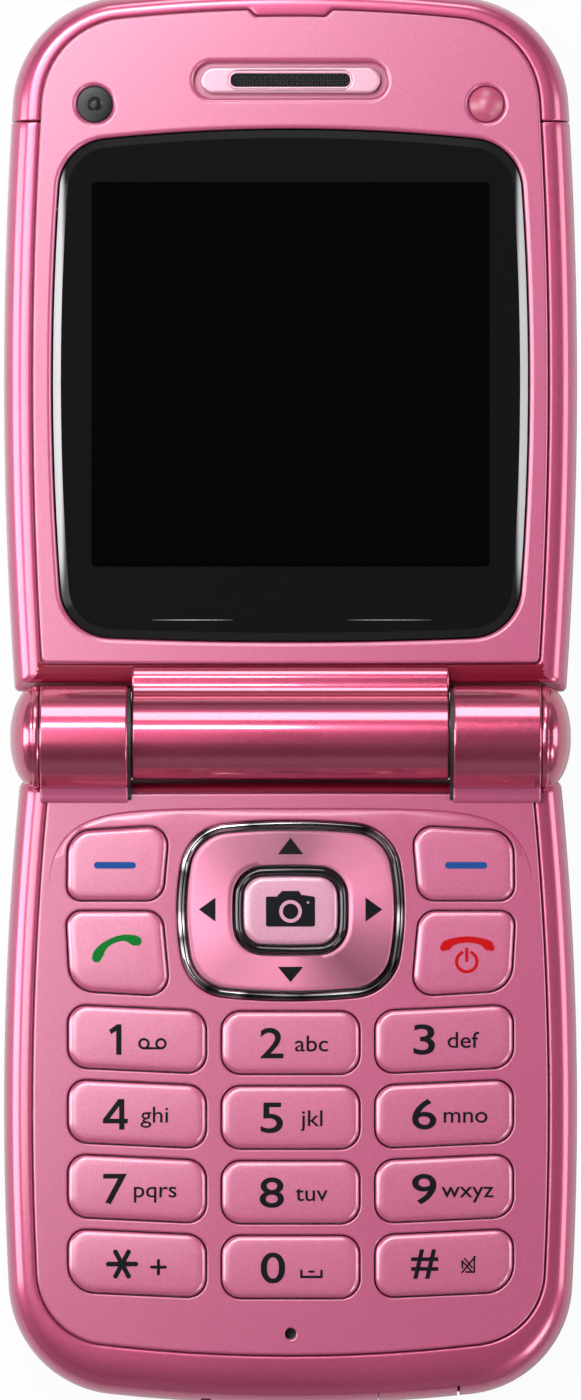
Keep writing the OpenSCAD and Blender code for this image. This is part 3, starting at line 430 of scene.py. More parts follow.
def add_flakes(tree, sockets, colour, amount, scale=9000.0, bump=0.0):
    """Varies the colour from flake to flake, and tilts the flakes a little."""
    flakes = use_group(tree, FLAKES, Scale=scale, Amount=amount)
    mixed = node(tree, "ShaderNodeVectorMath", {0: colour[:3], "Scale": flakes["Tone"]}, operation="SCALE")
    tree.links.new(mixed.outputs[0], sockets["Base Color"])
    if bump:
        tilt = node(tree, "ShaderNodeBump", {"Height": flakes["Height"], "Distance": bump, "Strength": 1.0})
        tree.links.new(tilt.outputs["Normal"], sockets["Normal"])


# %% The pink lacquers
def lacquer(name, colour, metallic, roughness, coat, coat_roughness, coat_ior=1.6, sheen=0.5):
    material, tree, sockets = new_material(
        name, Metallic=metallic, Coat_Weight=coat, Coat_Roughness=coat_roughness, Coat_IOR=coat_ior,
        Specular_IOR_Level=sheen)
    add_flakes(tree, sockets, colour, 0.16, bump=1.2e-6)
    add_haze(tree, sockets, roughness, roughness + 0.05)
    return material


PINK = (0.5, 0.078, 0.178)
SHELL_PINK = lacquer("shell_lacquer", PINK, 0.62, 0.32, 1.0, 0.16, 1.65, 0.3)
PANEL_PINK = lacquer("panel_satin", (0.475, 0.08, 0.19), 0.3, 0.4, 1.0, 0.28, 1.9, 0.15)
HINGE_PINK = lacquer("hinge_lacquer", (0.52, 0.07, 0.15), 0.85, 0.26, 1.0, 0.09, 1.85, 0.3)
KEY_PINK = lacquer("key_lacquer", (0.56, 0.11, 0.235), 0.35, 0.4, 1.0, 0.27, 2.2, 0.15)
CENTRE_PINK = lacquer("centre_key_lacquer", (0.58, 0.25, 0.36), 0.1, 0.4, 1.0, 0.26, 2.1, 0.15)
BUMPER_PINK = lacquer("bumper_rubber", (0.42, 0.06, 0.13), 0.0, 0.5, 1.0, 0.36, 1.7, 0.2)
# A darker copy of the pink lacquer: painted shade for the near ends of the shells, between the panels and the barrel
PAINTED_SHADE_PINK = lacquer("painted_shade_lacquer", (0.17, 0.004, 0.02), 0.2, 0.4, 0.4, 0.2, 1.4, 0.1)
print("lacquers made:", [m.name for m in (SHELL_PINK, PANEL_PINK, HINGE_PINK, KEY_PINK, CENTRE_PINK, BUMPER_PINK, PAINTED_SHADE_PINK)])


# %% Metals, glass, plastics and inks
def plain(name, colour, low, high, flake=0.05, scale=4000.0, bump=0.0, **inputs):
    """A finish with a slight grain in its colour and a haze in its gloss."""
    material, tree, sockets = new_material(name, **inputs)
    add_flakes(tree, sockets, colour, flake, scale, bump)
    add_haze(tree, sockets, low, high)
    return material


CHROME = plain("polished_chrome", (0.82, 0.82, 0.84), 0.05, 0.1, Metallic=1.0)
ROSE_CHROME = plain("rose_chrome", (0.68, 0.36, 0.46), 0.25, 0.32, Metallic=0.35, Coat_Weight=0.8, Coat_Roughness=0.12)
DARK_CHROME = plain("dark_chrome", (0.045, 0.042, 0.045), 0.08, 0.14, Metallic=0.9, Coat_Weight=0.6)
LENS_BLACK = plain("smoked_lens", (0.0055, 0.0055, 0.006), 0.03, 0.05, Specular_IOR_Level=0.45)
DISPLAY_BLACK = plain("dark_display", (0.001, 0.001, 0.0014), 0.03, 0.05, Specular_IOR_Level=0.2)
EYE_BLACK = plain("camera_glass", (0.005, 0.006, 0.006), 0.28, 0.34, Specular_IOR_Level=0.3)
MESH_BLACK = plain("woven_wire", (0.03, 0.03, 0.032), 0.3, 0.45, Metallic=0.7)
INK = plain("black_ink", (0.005, 0.005, 0.007), 0.4, 0.5, Specular_IOR_Level=0.1)
BLUE_INK = plain("blue_ink", (0.01, 0.06, 0.24), 0.4, 0.5, Specular_IOR_Level=0.1)
GREEN_INK = plain("green_ink", (0.001, 0.14, 0.016), 0.4, 0.5, Specular_IOR_Level=0.1)
RED_INK = plain("red_ink", (0.44, 0.002, 0.004), 0.4, 0.5, Specular_IOR_Level=0.1)
SILVER_INK = plain("silver_ink", (0.28, 0.28, 0.29), 0.3, 0.4, Metallic=0.6)
BLACK_PLASTIC = plain("black_plastic", (0.012, 0.012, 0.013), 0.4, 0.5)
STEEL = plain("turned_steel", (0.5, 0.5, 0.52), 0.25, 0.4, Metallic=1.0)
BOARD = plain("circuit_board", (0.01, 0.12, 0.06), 0.4, 0.55)
DOMES = plain("dome_sheet", (0.7, 0.7, 0.72), 0.3, 0.4)
CONTACT = plain("gilt_contact", (0.75, 0.5, 0.16), 0.25, 0.35, Metallic=1.0)
FLEX = plain("flex_cable", (0.45, 0.16, 0.04), 0.35, 0.45)
BATTERY = plain("battery_sleeve", (0.03, 0.03, 0.036), 0.35, 0.5)


def side_rim():
    """The window's bevel, with a painted reflection: pale at both long sides, dark elsewhere."""
    material, tree, sockets = new_material("bevel_painted_sheen", Specular_IOR_Level=0.15)
    spot = node(tree, "ShaderNodeTexCoord").outputs["Object"]
    split = node(tree, "ShaderNodeSeparateXYZ", {0: spot}).outputs
    sideways = node(tree, "ShaderNodeMath", {0: split["X"]}, operation="ABSOLUTE").outputs[0]
    beside = node(tree, "ShaderNodeMapRange", {
        "Value": sideways, "From Min": 0.0203, "From Max": 0.0208}, interpolation_type="SMOOTHSTEP").outputs[0]
    up = node(tree, "ShaderNodeMath", {0: split["Y"], 1: (HINGE_Y + 33.0) * MM}, operation="SUBTRACT").outputs[0]
    upward = node(tree, "ShaderNodeMath", {0: up}, operation="ABSOLUTE").outputs[0]
    along = node(tree, "ShaderNodeMapRange", {
        "Value": upward, "From Min": 0.021, "From Max": 0.0165}, interpolation_type="SMOOTHSTEP").outputs[0]
    share = node(tree, "ShaderNodeMath", {0: beside, 1: along}, operation="MULTIPLY").outputs[0]
    mixed = node(tree, "ShaderNodeMix", {0: share, 6: (0.012, 0.012, 0.013, 1), 7: (0.48, 0.48, 0.5, 1)}, data_type="RGBA")
    tree.links.new(mixed.outputs[2], sockets["Base Color"])
    add_haze(tree, sockets, 0.1, 0.16)
    return material


LENS_RIM_PAINTED_SHEEN = side_rim()


def round_the_pad(tree):
    """The vector from the pad's middle, and the direction of it as a number from 0 to 1."""
    spot = node(tree, "ShaderNodeTexCoord").outputs["Object"]
    middle = (0, (HINGE_Y - NAV_U) * MM, 0)
    away = node(tree, "ShaderNodeVectorMath", {0: spot, 1: middle}, operation="SUBTRACT").outputs[0]
    split = node(tree, "ShaderNodeSeparateXYZ", {0: away}).outputs
    angle = node(tree, "ShaderNodeMath", {0: split["Y"], 1: split["X"]}, operation="ARCTAN2").outputs[0]
    turn = node(tree, "ShaderNodeMath", {0: angle, 1: 0.5 / pi, 2: 0.5}, operation="MULTIPLY_ADD").outputs[0]
    return away, turn


def tones(tree, turn, stops, colour):
    """A colour whose strength changes with the direction; stops are (direction, strength)."""
    made = node(tree, "ShaderNodeValToRGB", {"Fac": turn})
    ramp = made.color_ramp
    while len(ramp.elements) < len(stops):
        ramp.elements.new(0.5)
    for element, (at, strength) in zip(ramp.elements, stops):
        element.position = at
        element.color = [c * strength for c in colour] + [1]
    return made.outputs["Color"]


# (direction, strength) of the painted sheen round the navigation ring
RING_PAINTED_SHEEN = [
    (0.0, 1.0), (0.05, 1.0), (0.12, 0.78), (0.19, 0.92), (0.26, 1.08), (0.32, 0.9), (0.38, 0.58), (0.43, 0.85),
    (0.49, 1.3), (0.54, 1.25), (0.6, 0.85), (0.66, 0.72), (0.71, 0.46), (0.75, 0.38), (0.79, 0.48), (0.87, 0.66),
    (0.93, 0.93), (1.0, 1.0)]
# (direction, strength) of the painted reflections round the pad's trim
TRIM_PAINTED_REFLECTIONS = [
    (0.0, 0.12), (0.02, 0.6), (0.04, 0.03), (0.1, 0.9), (0.12, 0.03), (0.16, 0.5), (0.175, 0.03), (0.23, 0.15),
    (0.27, 0.03), (0.34, 0.2), (0.38, 0.02), (0.46, 0.03), (0.49, 0.25), (0.51, 0.03), (0.57, 0.06), (0.61, 0.8),
    (0.63, 0.04), (0.68, 0.25), (0.75, 0.35), (0.82, 0.12), (0.86, 1.0), (0.885, 0.03), (0.92, 0.8), (0.945, 0.03),
    (1.0, 0.12)]


def patched_chrome():
    """Chrome of the pad's trim, with painted reflections: bright and dark patches all round, put into its colour by
    direction.
    """
    material, tree, sockets = new_material("patched_chrome", Metallic=1.0)
    _, turn = round_the_pad(tree)
    tree.links.new(tones(tree, turn, TRIM_PAINTED_REFLECTIONS, (0.95, 0.93, 0.94)), sockets["Base Color"])
    add_haze(tree, sockets, 0.05, 0.1)
    return material


TRIM_CHROME_PAINTED = patched_chrome()


def brushed_ring():
    """Spun metal: the fine turning marks run round the middle, so the sheen fans out in wedges. Wedges of painted sheen
    are also put into its colour by direction.
    """
    material, tree, sockets = new_material(
        "spun_ring_painted_sheen", Metallic=0.5, Anisotropic=0.8, Coat_Weight=0.4, Coat_Roughness=0.3)
    away, turn = round_the_pad(tree)
    round_it = node(tree, "ShaderNodeVectorMath", {0: away, 1: (0, 0, 1)}, operation="CROSS_PRODUCT").outputs[0]
    tree.links.new(round_it, sockets["Tangent"])
    distance = node(tree, "ShaderNodeVectorMath", {0: away}, operation="LENGTH").outputs["Value"]
    marks = node(tree, "ShaderNodeTexNoise", {"W": distance, "Scale": 9000.0, "Detail": 2.0},
                 noise_dimensions="1D").outputs["Fac"]
    tilt = node(tree, "ShaderNodeBump", {"Height": marks, "Distance": 1.5e-6})
    tree.links.new(tilt.outputs["Normal"], sockets["Normal"])
    tree.links.new(tones(tree, turn, RING_PAINTED_SHEEN, (0.66, 0.2, 0.33)), sockets["Base Color"])
    add_haze(tree, sockets, 0.36, 0.42)
    return material


# %% [markdown]
# ## The two shells
# Each half has a tray, moulded in one piece, with a full rounding at its back and a wide round rail
# round its front panel. The rail is a superellipse in section: nearly flat on top, then turning down ever faster. The near ends are hollowed,
# so that they clear the turning barrel. The lid's far end is a separate cap, which hides the aerial.

# %% Outlines of the halves
BACK_ROUND, BACK_INSET = 4.4, 3.4
FRONT_ROUND = RIM_Z - BACK_ROUND - 1.2
RAIL_W, RAIL_TOP, RAIL_BOTTOM = 2.7, 2.1, 4.6
RAIL_POWER = 2.8
LID_END, BASE_END = 4.0, 3.83
LID_FACE_END, BASE_FACE_END = 6.65, 5.06
LID_CLEAR_R, BASE_CLEAR_R = 4.98, 4.2
LID_LEAN, BASE_LEAN = 2.0, 1.13
CORNER_R, LID_SIDE_R, BASE_SIDE_R, END_R = 10.3, 400, 300, 150
CAP_SEAM = 55.7
TAB_HALF_W, TAB_DEPTH, TAB_SLOPE = 3.9, 0.62, 0.85
OUTLINE_STEPS = (24, 10, 40, 36, 90)


def lid_outline(side, far, near):
    return bowed(HALF_W - side, LID_REACH - far, near, 32.3, LID_SIDE_R - side, END_R - far, 3000,
                 CORNER_R - (side + far) / 2, 0.5, OUTLINE_STEPS)


def base_outline(side, far, near):
    return bowed(HALF_W - side, BASE_REACH - far, near, 33.7, BASE_SIDE_R - side, END_R - far, 3000,
                 CORNER_R - (side + far) / 2, 0.8, OUTLINE_STEPS)


def with_tab(loop):
    """The edge between the lid's rail and panel, which dips round the thumb tab."""
    found = []
    for x, u in loop:
        t = min(1.0, max(0.0, (TAB_HALF_W - abs(x)) / TAB_SLOPE))
        dip = TAB_DEPTH * t * t * (3 - 2 * t) if u > LID_REACH / 2 else 0
        found.append((x, u - dip))
    return found


def lid_panel_outline(by=0.0):
    return with_tab(lid_outline(RAIL_W + by, RAIL_TOP + by, LID_FACE_END + by))


def base_panel_outline(by=0.0):
    return base_outline(RAIL_W + by, RAIL_BOTTOM + by, BASE_FACE_END + by)


def near_end(end, z, clear_r):
    """Where a half may begin at height z without touching the barrel."""
    return max(end, sqrt(max(0.0, clear_r ** 2 - (AXIS_Z - z) ** 2)))


# %% The lofted trays
SEAM_GAP = 0.09
RAIL_EDGE = rounding(0.26, 0.2)


def outside_rings(outline, end, far_inset, front_lean, clear_r, back_lean=0.9):
    """Rings of a half's outside, from its back to its rim."""
    rings = [level(outline(BACK_INSET + 0.1, BACK_INSET + 0.1, end + back_lean + 0.1), 0.0)]
    for i in range(13):
        a = radians(90 - 7.5 * i)
        share, z = 1 - cos(a), BACK_ROUND * (1 - sin(a))
        rings.append(level(outline(BACK_INSET * share, BACK_INSET * share, end + back_lean * share), z))
    for i in range(25):
        a = radians(3.75 * i)
        share, z = 1 - abs(cos(a)) ** (2 / RAIL_POWER), RIM_Z - FRONT_ROUND * (1 - sin(a) ** (2 / RAIL_POWER))
        near = near_end(end + front_lean * share, z, clear_r)
        side = RAIL_W - 0.4 - SEAM_GAP
        rings.append(level(outline(side * share, (far_inset - 0.4 - SEAM_GAP) * share, near), z))
    return rings


def inside_rings(panel_outline, floor_z):
    """Rings of the opening: a rounded edge, the ledge under the panel, and the cavity."""
    edge = [level(inset(panel_outline(-SEAM_GAP), -a), RIM_Z - d) for a, d in RAIL_EDGE]
    ledge = [level(panel_outline(by), z) for by, z in
             ((-SEAM_GAP, PANEL_Z), (0.9, PANEL_Z), (1.0, floor_z + 1), (1.9, floor_z))]
    return edge + ledge


lid_skin = outside_rings(lid_outline, LID_END, RAIL_TOP, LID_LEAN, LID_CLEAR_R)
base_skin = outside_rings(base_outline, BASE_END, RAIL_BOTTOM, BASE_LEAN, BASE_CLEAR_R)
lid_tray = loft(lid_skin + inside_rings(lid_panel_outline, 1.6))
base_tray = loft(base_skin + inside_rings(base_panel_outline, 6.0))
print("points in the trays:", len(lid_tray[0]), len(base_tray[0]))

# %% [markdown]
# The lid's tray is cut in two at the cap's seam. A cut alone would look like a drawn line, so the skin
# is first lowered on both sides of it, which gives the two mouldings their rounded edges.

# %% Split the lid at the seam of its top cap
SEAM_ROUND, SEAM_STEPS, CUT_GAP = 0.16, 4, 0.1


def seamed_tray(part, keep_far):
    bm = bmesh.new()
    made = [bm.verts.new(p) for p in part[0]]
    for corners in part[1]:
        bm.faces.new([made[i] for i in corners])
    bmesh.ops.recalc_face_normals(bm, faces=bm.faces)
    for k in range(SEAM_STEPS + 1):
        for side in (-1, 1):
            at = CAP_SEAM + side * (CUT_GAP / 2 + SEAM_ROUND * k / SEAM_STEPS)
            bmesh.ops.bisect_plane(bm, geom=bm.verts[:] + bm.edges[:] + bm.faces[:], dist=1e-5,
                                   plane_co=(0, at, 0), plane_no=(0, 1, 0))
    bm.normal_update()
    for v in bm.verts:
        d = abs(v.co.y - CAP_SEAM) - CUT_GAP / 2
        if d < SEAM_ROUND - 1e-6:
            lean = Vector((v.normal.x, 0, v.normal.z))
            v.co -= lean * (SEAM_ROUND - sqrt(SEAM_ROUND ** 2 - (SEAM_ROUND - max(d, 0)) ** 2))
    edge_at = CAP_SEAM + (CUT_GAP / 2 if keep_far else -CUT_GAP / 2)
    bmesh.ops.bisect_plane(bm, geom=bm.verts[:] + bm.edges[:] + bm.faces[:], dist=1e-5,
                           plane_co=(0, edge_at, 0), plane_no=(0, 1, 0),
                           clear_inner=keep_far, clear_outer=not keep_far)
    rim = [e for e in bm.edges if len(e.link_faces) == 1]
    bmesh.ops.triangle_fill(bm, use_beauty=True, edges=rim, normal=(0, 1, 0))
    bm.verts.index_update()
    found = [tuple(v.co) for v in bm.verts], [tuple(v.index for v in f.verts) for f in bm.faces]
    bm.free()
    return found


# %% [markdown]
# The backs get their openings: the window of the outer display, the bed of the sliding battery cover,
# the slits of the loudspeaker, the socket, the strap slit, the slot of the volume key and the screw
# holes. They are cut exactly, as the steel of the mould would leave them.

# %% Openings in the backs, and the covers that fill them
OUTER_U, OUTER_HALF_W, OUTER_HALF_H = 42.0, 12.0, 7.5
SCREW_X, LID_SCREW_US, BASE_SCREW_US = 21.1, (20.0, 48.0), (24.02, 43.83)
COVER_HALF_W, COVER_U, COVER_T = 18.4, 14.0, 1.2
PORT_X0, PORT_X1, PORT_TOP = 8.0, 15.1, 8.7
SLIT_X, SLIT_W = 7.65, 0.9
VOLUME_U, VOLUME_HALF, VOLUME_Z = 27.0, 7.0, 4.9


def screw_hole(x, u):
    return turned([(1.05, -1.0), (1.05, 0.8), (0.5, 0.82), (0.5, 1.4)], (x, u), 48)


def volume_bar(grow, x1):
    loop = [(u + VOLUME_U, z + VOLUME_Z) for u, z in rounded(
        box_corners(VOLUME_HALF + grow, 1.4 + grow), [1.2 + grow] * 4, 8)]
    return loft([[(x, u, z) for u, z in loop] for x in (-HALF_W - 1, x1)])


def holes(us):
    return [screw_hole(side * SCREW_X, u) for u in us for side in (-1, 1)]


window = [prism(pill(OUTER_HALF_W + 0.08, OUTER_HALF_H + 0.08, 2.0, (0, OUTER_U)), -1, 0.85)]
lid_rear = carve(seamed_tray(lid_tray, False), window + holes(LID_SCREW_US))
# The lid's near end, between its panel and the barrel, takes the darker lacquer as painted shade
lid_painted_shade_split = split(lid_rear, lambda x, u, z: u < LID_FACE_END - 0.04 and abs(x) < HALF_W - 3.1 and z > 7)
piece("lid_shell", lid_painted_shade_split, "lid", "lid", "pink_shell", [SHELL_PINK, PAINTED_SHADE_PINK], ["lid_rear_shell"])
piece("lid_cap", [seamed_tray(lid_tray, True)], "lid", "lid", "pink_shell", SHELL_PINK, ["lid_top_cap"])

slits = [prism(pill(2.4, 0.3, 0.28, (0, 9.6 + 1.3 * i), 6), -1, 1.5) for i in range(-2, 3)]
port_bed = box_part((PORT_X0 - 0.07, BASE_REACH - 2.3, 3.0), (PORT_X1 + 0.25, BASE_REACH + 1, PORT_TOP + 0.07))
strap = box_part((-SLIT_X - SLIT_W / 2, BASE_REACH - 1.7, 4.4), (-SLIT_X + SLIT_W / 2, BASE_REACH + 1, PORT_TOP - 0.7))
cover_bed = box_part((-COVER_HALF_W - 0.12, COVER_U - 0.1, -1), (COVER_HALF_W + 0.12, BASE_REACH + 1, COVER_T + 0.05))
base_rear = carve(base_tray, slits + holes(BASE_SCREW_US) + [port_bed, strap, cover_bed, volume_bar(0.18, -22.6)])
# The base's near end, between its panel and the barrel, takes the darker lacquer as painted shade
base_painted_shade_split = split(base_rear, lambda x, u, z: u < BASE_FACE_END - 0.02 and abs(x) < HALF_W - 3.1 and z > 7)
piece("base_shell", base_painted_shade_split, "base", "base", "pink_shell", [SHELL_PINK, PAINTED_SHADE_PINK], ["base_rear_case"])
print("faces in the carved backs:", len(lid_rear[1]), len(base_rear[1]))

base_block = loft(base_skin)
cover = carve(base_block, [box_part((-COVER_HALF_W, COVER_U, -1), (COVER_HALF_W, BASE_REACH + 1, COVER_T))], "INTERSECT")
grips = [prism(pill(4.0, 0.26, 0.24, (0, COVER_U + 2.75 + 1.2 * i), 6), -1, 0.3) for i in range(5)]
piece("cover_plate", [carve(cover, grips)], "base", "battery_cover", "pink_shell", SHELL_PINK, ["battery_cover"])
swing_u = HINGE_Y - 1000 * next(j for j in frame["joints"] if j["name"] == "port_cover_swing")["pos_m"][1]
swing_room = prism([(PORT_X0 - 1, swing_u)] + [(PORT_X0 + x, swing_u + u) for x, u in arc((0, 0), 0.38, -0.1, pi / 2, 8)]
                   + [(PORT_X0 - 1, BASE_REACH + 1)], 2, PORT_TOP + 1)
flap = carve(base_block, [box_part((PORT_X0, BASE_REACH - 2.1, 3.1), (PORT_X1, BASE_REACH + 1, PORT_TOP))], "INTERSECT")
piece("port_flap", [carve(flap, [swing_room])], "base", "port_cover", "pink_shell", SHELL_PINK, ["port_cover"])
volume = carve(base_block, [volume_bar(0.0, -23.4)], "INTERSECT")
piece("volume_bar", [volume], "base", "volume_key", "pink_shell", SHELL_PINK, ["volume_key"])

# %% [markdown]
# ## The lid's front
# The front panel is a thin plate in the rail. It has a chamfered window for the lens, a long pocket
# for the earpiece and two round recesses, for the camera and for the rubber bumper.

# %% Front panel of the lid
PANEL_EDGE = rounding(0.2, 0.14)
LENS_HALF_W, LENS_BOTTOM, LENS_TOP, LENS_CORNER_R = 21.5, 8.7, 54.9, 4.6
EAR_U, EAR_W, EAR_H, SLOT_W, SLOT_H = 59.4, 16.2, 2.3, 10.8, 1.2
DOT_X, DOT_U, DOT_R = 17.7, 57.23, 1.6


def lens_outline(by):
    return bowed(LENS_HALF_W - by, LENS_TOP - by, LENS_BOTTOM + by, 32.3, 250 - by, 160 - by, 390,
                 LENS_CORNER_R - by, LENS_CORNER_R - by, (30, 20, 30, 20, 30))


def pocket(loop, depth, edge, z=FACE_Z):
    """The rounded wall and the floor of a blind pocket in a face."""
    rings = [level(inset(loop, -edge[0][0] - 0.03), z)]
    rings += [level(inset(loop, -a), z - d) for a, d in edge]
    rings.append(level(loop, z - depth))
    verts, faces = loft(rings)
    return rings[0], (verts, faces[:-2] + faces[-1:])


def panel_with_pockets(outer, windows, pockets, z0, z1, edge):
    """A plate whose windows go through and whose pockets are blind."""
    made = [walls(outer, z0, z1, edge, 1)] + [walls(w, z0, z1, e, -1) for w, e in windows]
    blind = [pocket(loop, depth, e, z1) for loop, depth, e in pockets]
    top = fill([r[0] for r, _ in made] + [ring for ring, _ in blind])
    bottom = fill([r[-1] for r, _ in made])
    return [part for _, part in made] + [part for _, part in blind] + [top, bottom]


ear_pocket = pill(EAR_W / 2 + 0.62, EAR_H / 2 + 0.5, EAR_H / 2 + 0.48, (0, EAR_U), 20)
lid_panel = panel_with_pockets(
    lid_panel_outline(0.03),
    [(lens_outline(-0.14), rounding(0.4, 0.3, 5))],
    [
        (ear_pocket, 1.1, rounding(0.42, 0.36, 5)),
        (circle((-DOT_X, DOT_U), DOT_R + 0.05), 0.9, rounding(0.4, 0.42, 5)),
        (circle((DOT_X, DOT_U), DOT_R + 0.05), 0.9, rounding(0.36, 0.3, 5)),
    ],
    PANEL_Z, FACE_Z, PANEL_EDGE)
piece("lid_panel", lid_panel, "lid", "lid", "pink_panel", PANEL_PINK, ["lid_front_panel"], flat=True)

# %% The lens, its display window and its thin silver lines
LENS_CHAMFER, LENS_CHAMFER_DROP, LENS_Z = 0.72, 0.24, FACE_Z - 0.05
WINDOW_HALF_W, WINDOW_HALF_H, WINDOW_U = 18.0, 17.4, 32.8
lens_rings = [level(lens_outline(LENS_CHAMFER), LENS_Z), level(lens_outline(0.03), LENS_Z - LENS_CHAMFER_DROP),
              level(lens_outline(0), LENS_Z - LENS_CHAMFER_DROP - 0.05), level(lens_outline(0), LENS_Z - 0.9)]
lens_points, lens_faces = loft(lens_rings)
chamfer_faces = len(lens_rings[0])
window_loop = level(pill(WINDOW_HALF_W, WINDOW_HALF_H, 0.4, (0, WINDOW_U), 4), LENS_Z)
# The chamfer of the lens carries the painted reflection along its long sides
piece("lens", [
    (lens_points, lens_faces[:chamfer_faces], 1), (lens_points, lens_faces[chamfer_faces:-2] + lens_faces[-1:], 0),
    (*fill([lens_rings[0], window_loop]), 0), (*fill([window_loop]), 2),
], "lid", "lid", "lens_black", [LENS_BLACK, LENS_RIM_PAINTED_SHEEN, DISPLAY_BLACK], ["display_lens"], sharp=8)


def silver_line(x0, x1, u, half_h):
    """A thin line that tapers to both ends."""
    xs = [x0 + (x1 - x0) * i / 24 for i in range(25)]
    upper = [(x, u + half_h * (0.15 + sin(pi * i / 24))) for i, x in enumerate(xs)]
    lower = [(x, u - half_h * (0.15 + sin(pi * i / 24))) for i, x in enumerate(xs)]
    return prism(lower + upper[::-1], LENS_Z - 0.02, LENS_Z + 0.015)


piece("silver_lines", [silver_line(-12.5, -5.2, 10.58, 0.035), silver_line(5.2, 12.8, 10.58, 0.035)],
      "lid", "lid", None, SILVER_INK)

# %% [markdown]
# ## The earpiece, the camera and the bumper
# The earpiece has a polished bezel in a chamfered pocket, a raised rim round its slot, and a woven
# wire mesh behind it. The mesh repeats one wire in two directions, so it is grown by Geometry Nodes:
# every wire is a straight line that is lifted by a wave of its position, over and under its neighbours.

# %% Bezel and slot rim
bezel = plate(pill(EAR_W / 2, EAR_H / 2, EAR_H / 2 - 0.02, (0, EAR_U), 20),
              [pill(SLOT_W / 2 + 0.1, SLOT_H / 2 + 0.1, SLOT_H / 2 + 0.07, (0, EAR_U), 16)],
              FACE_Z - 0.9, FACE_Z + 0.06, rounding(0.22, 0.2, 5))
piece("ear_bezel", bezel, "lid", "lid", "chrome_trim", ROSE_CHROME, ["earpiece_bezel"], flat=True)


def ear_slot(by):
    return pill(SLOT_W / 2 + 0.22 - by, SLOT_H / 2 + 0.22 - by, SLOT_H / 2 + 0.17 - by, (0, EAR_U), 16)


def half_round(shape, width, z_low, z_high, bottom, n=12):
    """A bead of half-round section that follows an outline."""
    steps = [(width / 2 * (1 - cos(pi * i / n)), z_low + (z_high - z_low) * sin(pi * i / n)) for i in range(n + 1)]
    rings = [level(shape(a), z) for a, z in steps]
    return loft([level(shape(0), bottom)] + rings + [level(shape(width), bottom)], closed=True)


piece("ear_rim", [half_round(ear_slot, 0.22, FACE_Z + 0.05, FACE_Z + 0.16, FACE_Z - 0.9)],
      "lid", "lid", "chrome_trim", ROSE_CHROME)


# %% Helpers for Geometry Nodes
def nodes_tree(name, sockets):
    """A geometry tree with a Geometry input and output and named inputs: (name, type, default)."""
    tree = bpy.data.node_groups.new(name, "GeometryNodeTree")
    tree.interface.new_socket("Geometry", in_out="INPUT", socket_type="NodeSocketGeometry")
    for key, kind, value in sockets:
        socket = tree.interface.new_socket(key, in_out="INPUT", socket_type="NodeSocket" + kind)
        if value is not None:
            socket.default_value = value
    tree.interface.new_socket("Geometry", in_out="OUTPUT", socket_type="NodeSocketGeometry")
    return tree, tree.nodes.new("NodeGroupInput").outputs, tree.nodes.new("NodeGroupOutput").inputs


def maths(tree, operation, a, b=0.0, c=0.0):
    return node(tree, "ShaderNodeMath", {0: a, 1: b, 2: c}, operation=operation).outputs[0]


def grow(name, tree, points, **values):
    """Runs a tree on a few points and keeps the mesh that it gives."""
    seed = bpy.data.meshes.new(name)
    seed.from_pydata(points, [], [])
    holder = bpy.data.objects.new(name, seed)
    bpy.context.scene.collection.objects.link(holder)
    run = holder.modifiers.new("grow", "NODES")
    run.node_group = tree
    for item in tree.interface.items_tree:
        if item.in_out == "INPUT" and item.name in values:
            run[item.identifier] = values[item.name]
    mesh = bpy.data.meshes.new_from_object(holder.evaluated_get(bpy.context.evaluated_depsgraph_get()))
    bpy.data.objects.remove(holder)
    made = bpy.data.objects.new(name, mesh)
    bpy.context.scene.collection.objects.link(made)
    return made


